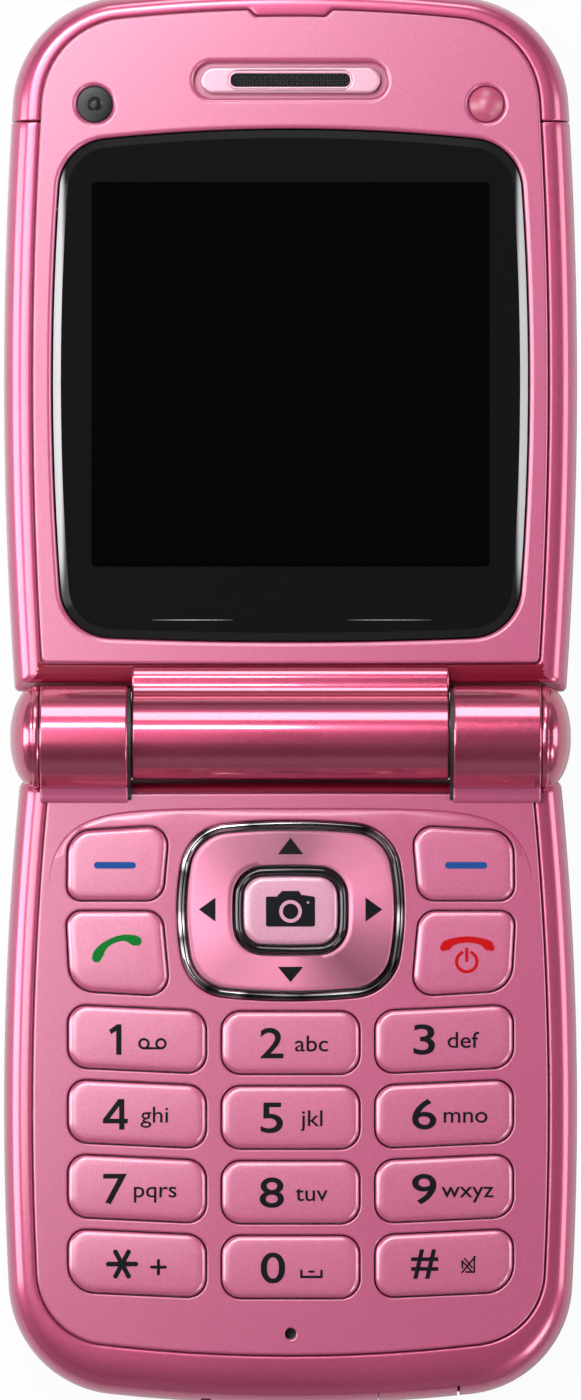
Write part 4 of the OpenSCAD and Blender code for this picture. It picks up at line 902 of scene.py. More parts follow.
# %% Woven mesh of the earpiece
def weave_tree():
    tree, given, out = nodes_tree("woven_mesh", [
        ("Length", "Float", 0.01), ("Width", "Float", 0.001), ("Pitch", "Float", 0.0003),
        ("Wire", "Float", 0.0001), ("Lift", "Float", 0.0001), ("Material", "Material", None)])

    def wires(long, short, turn, sign):
        half = maths(tree, "MULTIPLY", given[long], 0.5)
        back = maths(tree, "MULTIPLY", half, -1.0)
        across = maths(tree, "MULTIPLY", given[short], -0.5)
        ends = [node(tree, "ShaderNodeCombineXYZ", {turn: v}).outputs[0] for v in (back, half)]
        line = node(tree, "GeometryNodeCurvePrimitiveLine", {"Start": ends[0], "End": ends[1]}).outputs["Curve"]
        steps = maths(tree, "MULTIPLY", maths(tree, "DIVIDE", given[long], given["Pitch"]), 6.0)
        fine = node(tree, "GeometryNodeResampleCurve", {"Curve": line, "Count": steps}).outputs["Curve"]
        start = node(tree, "ShaderNodeCombineXYZ", {1 - turn: across}).outputs[0]
        step = node(tree, "ShaderNodeCombineXYZ", {1 - turn: given["Pitch"]}).outputs[0]
        count = maths(tree, "ADD", maths(tree, "DIVIDE", given[short], given["Pitch"]), 1.0)
        row = node(tree, "GeometryNodeMeshLine", {"Count": count, "Start Location": start, "Offset": step}).outputs["Mesh"]
        spots = node(tree, "GeometryNodeMeshToPoints", {"Mesh": row}).outputs["Points"]
        copies = node(tree, "GeometryNodeInstanceOnPoints", {"Points": spots, "Instance": fine}).outputs["Instances"]
        real = node(tree, "GeometryNodeRealizeInstances", {"Geometry": copies}).outputs["Geometry"]
        where = node(tree, "ShaderNodeSeparateXYZ", {0: node(tree, "GeometryNodeInputPosition").outputs[0]}).outputs
        wave = maths(tree, "MULTIPLY", *[
            maths(tree, "COSINE", maths(tree, "MULTIPLY", maths(tree, "DIVIDE", axis, given["Pitch"]), pi))
            for axis in (where["X"], where["Y"])])
        rise = maths(tree, "MULTIPLY", maths(tree, "MULTIPLY", wave, given["Lift"]), sign)
        lifted = node(tree, "ShaderNodeCombineXYZ", {"Z": rise}).outputs[0]
        return node(tree, "GeometryNodeSetPosition", {"Geometry": real, "Offset": lifted}).outputs["Geometry"]

    both = tree.nodes.new("GeometryNodeJoinGeometry")
    for bundle in (wires("Length", "Width", 0, 1.0), wires("Width", "Length", 1, -1.0)):
        tree.links.new(bundle, both.inputs[0])
    section = node(tree, "GeometryNodeCurvePrimitiveCircle", {"Resolution": 6, "Radius": given["Wire"]}).outputs["Curve"]
    tubes = node(tree, "GeometryNodeCurveToMesh", {
        "Curve": both.outputs[0], "Profile Curve": section, "Fill Caps": True}).outputs["Mesh"]
    painted = node(tree, "GeometryNodeSetMaterial", {"Geometry": tubes, "Material": given["Material"]}).outputs[0]
    tree.links.new(painted, out["Geometry"])
    return tree


mesh_piece = grow("ear_mesh", weave_tree(), [(0, 0, 0)], Length=0.0106, Width=0.00112, Pitch=0.00028, Wire=0.000075,
                  Lift=0.00005, Material=MESH_BLACK)
mesh_piece.data.transform(Matrix.Translation(place("lid", (0, EAR_U, FACE_Z - 0.42))))
mount(mesh_piece, "lid", "mesh_black", ["earpiece_mesh"])
piece("ear_floor", [prism(pill(SLOT_W / 2, SLOT_H / 2, SLOT_H / 2 - 0.04, (0, EAR_U), 12), FACE_Z - 0.9, FACE_Z - 0.62)],
      "lid", "lid", "inner_black", BLACK_PLASTIC)
print("faces in the woven mesh:", len(mesh_piece.data.polygons))

# %% Camera and bumper
eye = turned([(1.62, FACE_Z - 1.4), (1.62, FACE_Z - 0.42), (1.57, FACE_Z - 0.37), (1.46, FACE_Z - 0.35), (0.68, FACE_Z - 0.35),
              (0.6, FACE_Z - 0.39), (0.5, FACE_Z - 0.43), (0.4, FACE_Z - 0.39), (0.2, FACE_Z - 0.36), (0.04, FACE_Z - 0.355)],
             (-DOT_X, DOT_U), 72)
piece("camera_eye", [eye], "lid", "lid", "lens_black", EYE_BLACK, ["camera_lens"], sharp=25)
dome_r = (DOT_R ** 2 + 0.72 ** 2) / 1.44
dome = [(1.58, FACE_Z - 1.4), (1.58, FACE_Z - 0.25)]
dome += [(dome_r * sin(a), FACE_Z + 0.48 - dome_r * (1 - cos(a)))
         for a in (asin(1.52 / dome_r) * (1 - i / 14) for i in range(14))]
piece("bumper_dome", [turned(dome + [(0.02, FACE_Z + 0.48)], (DOT_X, DOT_U), 72)], "lid", "lid", "pink_hinge",
      BUMPER_PINK, ["bumper_pad"])

# %% Outer display on the back
outer_rings = [level(pill(OUTER_HALF_W, OUTER_HALF_H, 2.0, (0, OUTER_U)), 0.75)]
for a, d in reversed(rounding(0.18, 0.14)):
    outer_rings.append(level(pill(OUTER_HALF_W - a, OUTER_HALF_H - a, 2.0 - a, (0, OUTER_U)), d))
piece("outer_lens", [loft(outer_rings)], "lid", "lid", "lens_black", LENS_BLACK, ["outer_display_lens"], flat=True)


# %% [markdown]
# ## The hinge
# The barrel is made of three knuckles on one axis: the middle one belongs to the lid and the outer two
# to the base. Their section never changes along the axis, so each is one outline drawn along X, and
# only its two ends are rounded over. A low black collar on each side knuckle fills the turning gap; its
# black is painted shade, so the gap reads dark.

# %% Knuckles
DRUM_R = 3.85
BARREL_R, MIDDLE_X, KNUCKLE_GAP, SIDE_W, CAP_DOME = 4.66, 14.35, 0.35, 7.95, 2.7
SIDE_X0 = MIDDLE_X + KNUCKLE_GAP
SIDE_X1 = SIDE_X0 + SIDE_W


def along_x(section, x0, x1, edge):
    """A section of points (u, z), drawn along X, with rounded ends."""
    steps = [(a, d) for a, d in edge]
    first = [[(x0 + d, u, z) for u, z in inset(section, a)] for a, d in steps]
    last = [[(x1 - d, u, z) for u, z in inset(section, a)] for a, d in reversed(steps)]
    return loft(first + last)


def middle_section():
    bead = arc((5.15, 9.05), 1.35, 0, pi / 2, 16)
    start = radians(16)
    drum = arc((0, AXIS_Z), DRUM_R, start, radians(306.7), 150)
    a, b = bead[-1], (DRUM_R + 0.1, AXIS_Z + 0.02)
    c = (DRUM_R * cos(start), AXIS_Z + DRUM_R * sin(start))
    fillet = [tuple((1 - t) ** 2 * p + 2 * t * (1 - t) * q + t * t * r for p, q, r in zip(a, b, c))
              for t in (i / 10 for i in range(1, 11))]
    return [(8.0, 5.5), (8.0, 8.35), (6.5, 8.35), (6.5, 9.05)] + bead + fillet + drum + [(4.0, 5.5)]


def side_section():
    lip_end = BASE_FACE_END + 0.9
    bead = arc((lip_end - 0.6, 9.75), 0.6, 0, pi / 2, 14)
    drum = arc((0, AXIS_Z), BARREL_R, asin(-0.05 / BARREL_R), radians(306.7), 150)
    return ([(5.9, 5.5), (5.9, 8.35), (BASE_FACE_END - 0.06, 8.35), (BASE_FACE_END - 0.06, 9.7), (lip_end, 9.7)]
            + bead + drum + [(BASE_END, 5.5)])


KNUCKLE_EDGE = rounding(0.22, 0.22, 5)
piece("knuckle_middle", [along_x(middle_section(), -MIDDLE_X, MIDDLE_X, KNUCKLE_EDGE)],
      "lid", "lid", "pink_hinge", HINGE_PINK, ["hinge_barrel"], sharp=50, flat=True)
side_parts = split(along_x(side_section(), SIDE_X0, SIDE_X1, KNUCKLE_EDGE), lambda x, u, z: u > BARREL_R and z > 9)
# A black collar in the gap between the knuckles, as painted shade that makes the gap read dark
side_parts.append((*along_x(inset(side_section(), 0.24), MIDDLE_X + 0.06, SIDE_X0 + 0.5, [(0.0, 0.0)]), 2))
left_parts = [([(-x, u, z) for x, u, z in points], faces, m) for points, faces, m in side_parts]
for name, parts in (("r", side_parts), ("l", left_parts)):
    piece(f"knuckle_{name}", parts, "base", "base", "pink_hinge", [HINGE_PINK, PANEL_PINK, BLACK_PLASTIC],
          ["knuckle_right" if name == "r" else "knuckle_left"], sharp=50, flat=True)


# %% End caps
def end_cap(side):
    """A dome turned about the hinge axis, with a small flat insert at its end."""
    dome = [(BARREL_R - 0.3, 0.03), (BARREL_R - 0.12, 0.08), (BARREL_R - 0.06, 0.2), (BARREL_R - 0.06, 0.55),
            (BARREL_R - 0.1, 0.63), (BARREL_R - 0.2, 0.66)]
    dome += [((BARREL_R - 0.2) * cos(a), 0.66 + (CAP_DOME - 0.66) * sin(a))
             for a in (radians(5 * i) for i in range(1, 17))]
    dome += [(0.62, CAP_DOME - 0.03), (0.55, CAP_DOME - 0.06)]
    rings = []
    for r, out in dome:
        x = side * (SIDE_X1 + out)
        rings.append([(x, r * cos(a), AXIS_Z + r * sin(a)) for a in (2 * pi * i / 96 for i in range(96))])
    return loft(rings)


for side, name in ((-1, "left"), (1, "right")):
    piece(f"dome_{name}", [end_cap(side)], "base", "base", "pink_hinge", HINGE_PINK, [f"end_cap_{name}"])

# %% [markdown]
# ## The keypad
# The keypad panel is pierced by the keys, which are moulded on one web below it. Each key has a small
# rounding all round and a slightly crowned top. The rows follow a shallow smile, so every key outline
# is drawn straight first and then bent along one wide arc.

# %% Outlines of the keys
NAV_HALF_W, NAV_HALF_H, NAV_CORNER_R = 10.3, 8.2, 4.5
COLLAR_HALF_W, COLLAR_HALF_H, COLLAR_W = 5.1, 3.93, 0.7
KEY_W, KEY_H, KEY_CORNER_R = 12.4, 5.6, 1.7
PITCH_X, PITCH_U, FIRST_ROW_U, ROW_ARC_R = 13.88, 6.76, 27.67, 300
SOFT_KEY = ([(-20.1, 8.55), (-11.0, 8.0), (-11.6, 14.75), (-20.2, 14.75)], [2.2, 1.7, 1.6, 1.3])
CALL_KEY = ([(-20.3, 15.75), (-11.65, 15.75), (-10.95, 23.4), (-19.9, 22.9)], [1.3, 1.6, 1.7, 2.4])


def nav_shape(half_w, half_h, corner, by):
    loop = bowed(half_w - by, half_h - by, -half_h + by, 0, 24 - by, 60 - by, 60 - by,
                 max(corner - by, 0.3), max(corner - by, 0.3), (14, 20, 14, 20, 14))
    return [(x, u + NAV_U) for x, u in loop]


def nav_pocket(by):
    return nav_shape(NAV_HALF_W, NAV_HALF_H, NAV_CORNER_R, by)


def collar_shape(by):
    return nav_shape(COLLAR_HALF_W, COLLAR_HALF_H, NAV_CORNER_R - 1.9, by)


def on_smile(loop):
    return [(x, u - x * x / (2 * ROW_ARC_R)) for x, u in loop]


def number_key_shape(column, row):
    """A function that gives the outline of a number key, drawn in by a distance."""
    centre = (column * PITCH_X, FIRST_ROW_U + row * PITCH_U)
    outer_low = 2.35 if row == 3 and column else KEY_CORNER_R
    # u grows downwards in the picture, so the third and fourth corners are the lower ones
    radii = [KEY_CORNER_R, KEY_CORNER_R, outer_low if column > 0 else KEY_CORNER_R,
             outer_low if column < 0 else KEY_CORNER_R]

    def shape(by):
        corners, drawn = drawn_in(box_corners(KEY_W / 2, KEY_H / 2), radii, by)
        return on_smile([(x + centre[0], u + centre[1]) for x, u in rounded(corners, drawn, 8)])
    return shape


def command_key_shape(key, side):
    def shape(by):
        loop = rounded(*drawn_in(*key, by), 8)
        return loop if side < 0 else [(-x, u) for x, u in reversed(loop)]
    return shape


KEYS = {f"key_{n}": number_key_shape((n - 1) % 3 - 1, (n - 1) // 3) for n in range(1, 10)}
KEYS.update(key_star=number_key_shape(-1, 3), key_0=number_key_shape(0, 3), key_hash=number_key_shape(1, 3))
KEYS.update(soft_key_left=command_key_shape(SOFT_KEY, -1), soft_key_right=command_key_shape(SOFT_KEY, 1),
            call_key=command_key_shape(CALL_KEY, -1), end_key=command_key_shape(CALL_KEY, 1))

# %% The keypad panel, with the crease that arches over the keys
KEY_GAP = 0.13
WINDOW_EDGE = rounding(0.14, 0.12, 3)
MIC_U, MIC_R = 53.98, 0.52


def crease_line(n=60):
    """The arch as a smooth line of (x, u, half width), from its left foot to its right one."""
    line = []
    for i in range(n + 1):
        t = 2 * i / n - 1
        line.append((21.9 * sin(pi / 2 * t), 6.75 + 7.8 * abs(t) ** 4.2, 0.05 + 0.3 * min(1.0, 2.2 * (1 - abs(t)))))
    return line


def crease_groove():
    """A shallow groove: its outline and the faces down to its middle line."""
    line = crease_line()
    upper = [(x, u - w, FACE_Z) for x, u, w in line]
    lower = [(x, u + 0.7 * w, FACE_Z) for x, u, w in line]
    middle = [(x, u - 0.5 * w, FACE_Z - 0.5 * w) for x, u, w in line]
    n = len(line)
    verts = upper + middle + lower
    faces = [(k * n + i, k * n + i + 1, (k + 1) * n + i + 1, (k + 1) * n + i) for k in (0, 1) for i in range(n - 1)]
    faces += [(0, n, 2 * n), (n - 1, 3 * n - 1, 2 * n - 1)]
    return upper + lower[::-1], (verts, faces)


def keypad_panel():
    made = [walls(base_panel_outline(0.03), PANEL_Z, FACE_Z, PANEL_EDGE, 1)]
    windows = [nav_pocket(0), circle((0, MIC_U), MIC_R, 32)] + [shape(-KEY_GAP) for shape in KEYS.values()]
    made += [walls(loop, PANEL_Z, FACE_Z, WINDOW_EDGE, -1) for loop in windows]
    rim, groove = crease_groove()
    top = fill([r[0] for r, _ in made] + [rim])
    return [part for _, part in made] + [groove, top, fill([r[-1] for r, _ in made])]


piece("keypad", keypad_panel(), "base", "base", "pink_panel", PANEL_PINK, ["keypad_panel"], flat=True)
piece("mic_cloth", [prism(circle((0, MIC_U), MIC_R + 0.15, 32), PANEL_Z - 0.3, PANEL_Z - 0.02)], "base", "base",
      "inner_black", BLACK_PLASTIC)

# %% Keys
KEY_EDGE_W, KEY_EDGE_H, KEY_BOTTOM, CROWN_R = 0.46, 0.42, 7.6, 60


def key_z(centre_u, u):
    return KEY_TOP - (u - centre_u) ** 2 / (2 * CROWN_R)


def key_piece(name, shape, finish=KEY_PINK):
    outer = shape(0)
    centre_u = (min(u for _, u in outer) + max(u for _, u in outer)) / 2
    rings = [level(outer, KEY_BOTTOM)]
    for a, d in reversed(rounding(KEY_EDGE_W, KEY_EDGE_H, 6)):
        rings.append([(x, u, key_z(centre_u, u) - d) for x, u in shape(a)])
    for a in (0.9, 1.4, 1.9, 2.4):
        rings.append([(x, u, key_z(centre_u, u)) for x, u in shape(a)])
    piece(name.replace("key_", "cap_", 1) if name.startswith("key_") else name + "_cap",
          [loft(rings)], "base", name, "pink_keys", finish, [name])
    return centre_u


KEY_CENTRES = {name: key_piece(name, shape) for name, shape in KEYS.items()}
print("keys made:", len(KEY_CENTRES))

# %% Navigation pad
RING_PINK_PAINTED_SHEEN = brushed_ring()
BEZEL_W, ROCK_GAP, RING_CROWN_R = 0.75, 0.16, 120


def ring_surface():
    inner, outer = collar_shape(-ROCK_GAP), nav_pocket(BEZEL_W + ROCK_GAP)

    def at(t, drop):
        loop = [(a + (c - a) * t, b + (d - b) * t) for (a, b), (c, d) in zip(inner, outer)]
        return [(x, u, KEY_TOP - (x * x + (u - NAV_U) ** 2) / (2 * RING_CROWN_R) - drop) for x, u in loop]
    edge = [(0.0, 0.14), (0.008, 0.06), (0.03, 0.0)]
    rings = [level(inner, PANEL_Z)] + [at(t, d) for t, d in edge] + [at(t / 8, 0) for t in range(1, 8)]
    rings += [at(1 - t, d) for t, d in reversed(edge)] + [level(outer, PANEL_Z)]
    return loft(rings, closed=True)


# The trim's chrome carries painted reflections in its colour
piece("nav_trim", [half_round(lambda by: nav_pocket(by + 0.05), BEZEL_W - 0.05, FACE_Z - 0.12, FACE_Z + 0.28, PANEL_Z)],
      "base", "base", "chrome_trim", TRIM_CHROME_PAINTED, ["nav_bezel"])
piece("nav_collar", [half_round(collar_shape, COLLAR_W, FACE_Z - 0.2, FACE_Z + 0.2, PANEL_Z - 1)],
      "base", "base", "dark_trim", DARK_CHROME, ["centre_key_collar"])
piece("nav_ring_face", [ring_surface()], "base", "nav_ring", "pink_ring", RING_PINK_PAINTED_SHEEN, ["nav_ring"])
key_centre = key_piece("centre_key", lambda by: collar_shape(COLLAR_W + 0.12 + by), CENTRE_PINK)

# %% [markdown]
# ## Prints on the keys
# The signs are printed on the key tops in a flat, hard ink. Digits and letters are set in the plain
# sans that comes with the program; the signs are drawn as strokes and sheets. Each print is a thin
# closed body that follows the crown of its key, because ink has a thickness and rides on the key.

# %% Flat marks: text, strokes and sheets
def sheet(loops):
    points, faces = fill([level(loop, 0) for loop in loops])
    return [(x, u) for x, u, _ in points], faces


def text(body, height, centre, bold=0.0, by="all", wide=1.1):
    """Points and faces of a word; the height is that of the word, or of its x with by="x"."""
    found = []
    for words in {body, "x" if by == "x" else body}:
        curve = bpy.data.curves.new("word", "FONT")
        curve.body, curve.offset, curve.resolution_u = words, bold, 6
        holder = bpy.data.objects.new("word", curve)
        mesh = bpy.data.meshes.new_from_object(holder)
        found.append((words, [tuple(v.co[:2]) for v in mesh.vertices], [tuple(f.vertices) for f in mesh.polygons]))
        bpy.data.objects.remove(holder)
    measured = next(f for f in found if f[0] == ("x" if by == "x" else body))
    _, points, faces = next(f for f in found if f[0] == body)
    ys = [y for _, y in measured[1]]
    k = height / (max(ys) - min(ys))
    xs = [x for x, _ in points]
    middle_x = (max(xs) + min(xs)) / 2
    base = min(ys) if by == "x" else (max(ys) + min(ys)) / 2
    return [(centre[0] + wide * k * (x - middle_x), centre[1] - k * (y - base)) for x, y in points], faces


def stroke(path, widths, n=10):
    """A band along a path, with round ends; one width, or one for each point."""
    widths = widths if isinstance(widths, (list, tuple)) else [widths] * len(path)
    spots = [Vector(p) for p in path]
    sides, heads = [], []
    for i, p in enumerate(spots):
        way = (spots[min(i + 1, len(spots) - 1)] - spots[max(i - 1, 0)]).normalized()
        heads.append(way)
        sides.append(Vector((-way.y, way.x)) * widths[i] / 2)
    left = [p + s for p, s in zip(spots, sides)]
    right = [p - s for p, s in zip(spots, sides)]
    far = [spots[-1] + sides[-1] * cos(a) + heads[-1] * widths[-1] / 2 * sin(a) for a in (pi * k / n for k in range(1, n))]
    near = [spots[0] - sides[0] * cos(a) - heads[0] * widths[0] / 2 * sin(a) for a in (pi * k / n for k in range(1, n))]
    return sheet([[tuple(p) for p in left + far + right[::-1] + near]])


def bow(centre, r, start, end, n=40):
    """Points on an arc from start to end, in degrees."""
    angles = [radians(start + (end - start) * i / n) for i in range(n + 1)]
    return [(centre[0] + r * cos(a), centre[1] + r * sin(a)) for a in angles]


def smooth_path(points, n=6):
    """A path through points, rounded as a Catmull-Rom curve; the points may carry a width."""
    path = []
    for i in range(len(points) - 1):
        a, b, c, d = (points[min(max(i + k, 0), len(points) - 1)] for k in (-1, 0, 1, 2))
        for t in (k / n for k in range(n)):
            path.append(tuple(0.5 * (2 * q + (r - p) * t + (2 * p - 5 * q + 4 * r - s) * t * t
                                     + (3 * q - p - 3 * r + s) * t ** 3) for p, q, r, s in zip(a, b, c, d)))
    return path + [tuple(points[-1])]


def printed(mark, surface, lift=0.03):
    """A flat mark as a thin closed body on a surface z(x, u)."""
    points, faces = mark
    n = len(points)
    edges = [(f[i - 1], f[i]) for f in faces for i in range(len(f))]
    known = set(edges)
    verts = [(x, u, surface(x, u) + lift) for x, u in points] + [(x, u, surface(x, u) - 0.02) for x, u in points]
    rim = [(a, b, b + n, a + n) for a, b in edges if (b, a) not in known]
    return verts, list(faces) + [tuple(i + n for i in reversed(f)) for f in faces] + rim


def print_on(name, body, marks, surface, ink):
    piece(name, [printed(mark, surface) for mark in marks], "base", body, None, ink, sharp=30)


# %% Digits and letters
ROW_LETTERS = {1: "", 2: "abc", 3: "def", 4: "ghi", 5: "jkl", 6: "mno", 7: "pqrs", 8: "tuv", 9: "wxyz"}
ONE = [(0.58, -1.38), (0.58, 1.38), (0.1, 1.38), (0.1, -0.78), (-0.34, -0.5), (-0.56, -0.86), (0.16, -1.38)]
FOUR = [(0.3, -1.38), (0.84, -1.38), (0.84, 0.4), (1.15, 0.4), (1.15, 0.82), (0.84, 0.82), (0.84, 1.38), (0.37, 1.38), (0.37, 0.82),
        (-1.1, 0.82), (-1.1, 0.46)]
FOUR_HOLE = [(0.37, -0.74), (0.37, 0.4), (-0.48, 0.4)]
DRAWN = {1: [ONE], 4: [FOUR, FOUR_HOLE]}
DIGIT_WIDE = {2: 1.2, 3: 1.34, 5: 1.28, 6: 1.3, 7: 1.2, 8: 1.26, 9: 1.3}
DIGIT_SHIFT = {-1: -1.98, 0: -1.69, 1: -1.79}
LETTER_SHIFT = {1: 1.4, 2: 1.9, 3: 1.75, 4: 1.57, 5: 1.9, 6: 1.95, 7: 1.65, 8: 1.9, 9: 2.13}
DIGIT_H, X_HEIGHT, LETTER_DROP, DIGIT_BOLD, LETTER_BOLD = 2.76, 0.95, 0.75, 0.009, 0.005


def key_centre_of(column, row):
    x = column * PITCH_X
    return x, FIRST_ROW_U + row * PITCH_U - x * x / (2 * ROW_ARC_R)


def crown_of(name):
    return lambda x, u: key_z(KEY_CENTRES[name], u)


for n in range(1, 10):
    column, row = (n - 1) % 3 - 1, (n - 1) // 3
    x, u = key_centre_of(column, row)
    digit_x = x + DIGIT_SHIFT[column]
    if n in DRAWN:
        marks = [sheet([[(digit_x + a, u + b) for a, b in loop] for loop in DRAWN[n]])]
    else:
        marks = [text(str(n), DIGIT_H, (digit_x, u), DIGIT_BOLD, wide=DIGIT_WIDE[n])]
    if n > 1:
        marks.append(text(ROW_LETTERS[n], X_HEIGHT, (x + LETTER_SHIFT[n], u + LETTER_DROP), LETTER_BOLD, "x"))
    else:
        for side in (-1, 1):
            spool = (x + LETTER_SHIFT[1] + side * 0.77, u + 0.38)
            marks.append(sheet([circle(spool, 0.52, 32), circle(spool, 0.3, 32)]))
        marks.append(stroke([(x + LETTER_SHIFT[1] - 0.7, u + 0.79), (x + LETTER_SHIFT[1] + 0.7, u + 0.79)], 0.21))
    print_on(f"print_{n}", f"key_{n}", marks, crown_of(f"key_{n}"), INK)

# %% Star, nought and hash keys
x, u = key_centre_of(-1, 3)
star = [stroke([(x - 1.35 + 1.25 * cos(a), u + 0.02 + 1.25 * sin(a)), (x - 1.35 - 1.25 * cos(a), u + 0.02 - 1.25 * sin(a))], 0.43)
        for a in (0, radians(62), radians(118))]
star += [stroke([(x + 1.94 + a, u + 0.3 + b), (x + 1.94 - a, u + 0.3 - b)], 0.28) for a, b in ((0.63, 0), (0, 0.6))]
print_on("print_star", "key_star", star, crown_of("key_star"), INK)
x, u = key_centre_of(0, 3)
space = [(x + 0.98, u + 0.3), (x + 0.98, u + 0.86), (x + 2.8, u + 0.86), (x + 2.8, u + 0.3)]
nought = [text("0", 2.8, (x - 1.59, u + 0.05), DIGIT_BOLD, wide=1.24)]
nought += [stroke([a, b], 0.22) for a, b in zip(space, space[1:])]
nought.append(stroke([(x + 1.7, u + 0.38), (x + 2.08, u + 0.38)], 0.2))
print_on("print_0", "key_0", nought, crown_of("key_0"), INK)
x, u = key_centre_of(1, 3)
mute = [[(0.55, -0.72), (0.55, 0.66)], [(0.55, 0.66), (-0.2, 0.66)], [(-0.55, 0.7), (0.62, -0.72)], [(-0.55, -0.35), (0.3, 0.6)],
        [(-0.55, -0.35), (-0.5, 0.3)], [(-0.3, -0.55), (0.35, 0.25)]]
hash_marks = [text("#", 2.66, (x - 1.75, u + 0.02), 0.012)]
hash_marks += [stroke([(x + 2.18 + a, u + 0.08 + b) for a, b in line], 0.15) for line in mute]
print_on("print_hash", "key_hash", hash_marks, crown_of("key_hash"), INK)

# %% Signs on the command keys
for side, name in ((-1, "left"), (1, "right")):
    dash = [(side * 15.87 - 1.6, 11.6), (side * 15.87 + 1.6, 11.6)]
    print_on(f"print_soft_{name}", f"soft_key_{name}", [stroke(dash, 0.6)], crown_of(f"soft_key_{name}"), BLUE_INK)
handset = smooth_path([(-17.53, 19.95, 0.76), (-17.36, 19.6, 0.84), (-16.99, 19.04, 0.64), (-16.44, 18.6, 0.5), (-15.77, 18.29, 0.47),
                       (-15.1, 18.16, 0.5), (-14.57, 18.23, 0.66), (-14.13, 18.38, 0.84), (-13.9, 18.44, 0.78)])
print_on("print_call", "call_key", [stroke([p[:2] for p in handset], [1.12 * p[2] for p in handset])], crown_of("call_key"), GREEN_INK)
hang_up = smooth_path([(13.83, 19.05, 0.55), (14.11, 18.84, 0.82), (14.72, 18.5, 0.56), (15.99, 18.3, 0.5), (17.26, 18.5, 0.56),
                       (17.87, 18.84, 0.82), (18.15, 19.05, 0.55)])
power = [stroke(bow((15.93, 20.3), 0.92, -62, 242), 0.28), stroke([(15.93, 19.15), (15.93, 20.2)], 0.27)]
print_on("print_end", "end_key", [stroke([p[:2] for p in hang_up], [1.12 * p[2] for p in hang_up])] + power,
         crown_of("end_key"), RED_INK)

# %% Signs on the navigation pad
def ring_z(x, u):
    return KEY_TOP - (x * x + (u - NAV_U) ** 2) / (2 * RING_CROWN_R)


arrows = [[(0, 9.1), (1.15, 10.6), (-1.15, 10.6)], [(0, 22.17), (-1.15, 20.78), (1.15, 20.78)],
          [(-8.3, 15.6), (-6.78, 14.5), (-6.78, 16.7)], [(8.3, 15.6), (6.78, 16.7), (6.78, 14.5)]]
print_on("print_arrows", "nav_ring", [sheet([rounded(a, [0.03] * 3, 3)]) for a in arrows], ring_z, INK)
body = rounded([(-2.22, 17.14), (2.22, 17.14), (2.22, 14.42), (1.06, 14.42), (0.78, 13.92), (-0.78, 13.92), (-1.06, 14.42),
                (-2.22, 14.42)][::-1], [0.16, 0.1, 0.12, 0.12, 0.1, 0.16, 0.2, 0.2], 5)
camera_sign = [sheet([body, circle((0, 15.76), 1.03, 40), circle((1.58, 14.95), 0.12, 12)]), sheet([circle((0, 15.76), 0.7, 36)])]
print_on("print_camera", "centre_key", camera_sign, lambda x, u: key_z(key_centre, u), INK)

# %% [markdown]
# ## Screws
# Four screws with cross recesses hold each half. One head is modelled, with its rounded rim and its
# recess. Geometry Nodes set copies of it on the four points, each turned by a random angle from a
# fixed seed, since nobody lines up the slots of screws.

# %% Screw heads
def screw_head():
    """A pan head with a cross recess, its face down, at the origin."""
    cross = [(0.12, 0.12), (0.12, 0.55), (-0.12, 0.55), (-0.12, 0.12), (-0.55, 0.12), (-0.55, -0.12), (-0.12, -0.12),
             (-0.12, -0.55), (0.12, -0.55), (0.12, -0.12), (0.55, -0.12), (0.55, 0.12)]
    rim = circle((0, 0), 0.93, 48)
    edge = [level(circle((0, 0), 0.93 - a, 48), d) for a, d in rounding(0.22, 0.2, 5)]
    head, faces = loft(edge + [level(rim, 0.42)])
    deep = [(0.45 * x, 0.45 * u) for x, u in cross]
    recess, recess_faces = loft([level(cross, 0.0), level(deep, 0.26)])
    shank = turned([(0.44, 0.42), (0.44, 5.6), (0.2, 5.9)], (0, 0), 24)
    parts = [(head, faces[:-2] + faces[-1:]), (recess, recess_faces[:-2] + recess_faces[-1:]),
             fill([edge[0], level(cross, 0.0)]), shank]
    bm = bmesh.new()
    for points, corners in parts:
        made = [bm.verts.new([c * MM for c in p]) for p in points]
        for f in corners:
            bm.faces.new([made[i] for i in f])
    return finish_mesh(bm, "screw_head", STEEL, 40)


def screw_tree():
    tree, given, out = nodes_tree("set_screws", [("Screw", "Object", None), ("Seed", "Int", 3), ("Material", "Material", None)])
    spots = node(tree, "GeometryNodeMeshToPoints", {"Mesh": given["Geometry"]}).outputs["Points"]
    head = node(tree, "GeometryNodeObjectInfo", {"Object": given["Screw"]}).outputs["Geometry"]
    turn = node(tree, "FunctionNodeRandomValue", {"Min": (0, 0, 0), "Max": (0, 0, 2 * pi), "Seed": given["Seed"]},
                data_type="FLOAT_VECTOR").outputs[0]
    copies = node(tree, "GeometryNodeInstanceOnPoints", {"Points": spots, "Instance": head, "Rotation": turn}).outputs[0]
    real = node(tree, "GeometryNodeRealizeInstances", {"Geometry": copies}).outputs[0]
    tree.links.new(node(tree, "GeometryNodeSetMaterial", {"Geometry": real, "Material": given["Material"]}).outputs[0],
                   out["Geometry"])
    return tree


head, setting = screw_head(), screw_tree()
for half, us, stands_for, seed in (("lid", LID_SCREW_US, "lid_screws", 3), ("base", BASE_SCREW_US, "base_screws", 8)):
    spots = [place(half, (side * SCREW_X, u, 0.32)) for u in us for side in (-1, 1)]
    made = grow(f"{half}_screw_set", setting, spots, Screw=head, Seed=seed, Material=STEEL)
    mount(made, half, "steel", [stands_for])
    print(stands_for, "faces:", len(made.data.polygons))
bpy.data.objects.remove(head)

# %% [markdown]
# ## Table, light and camera
# A pale table and a soft studio light. The picture was taken from far above with a long lens, so the
# camera stands high over the middle of the phone and looks straight down.

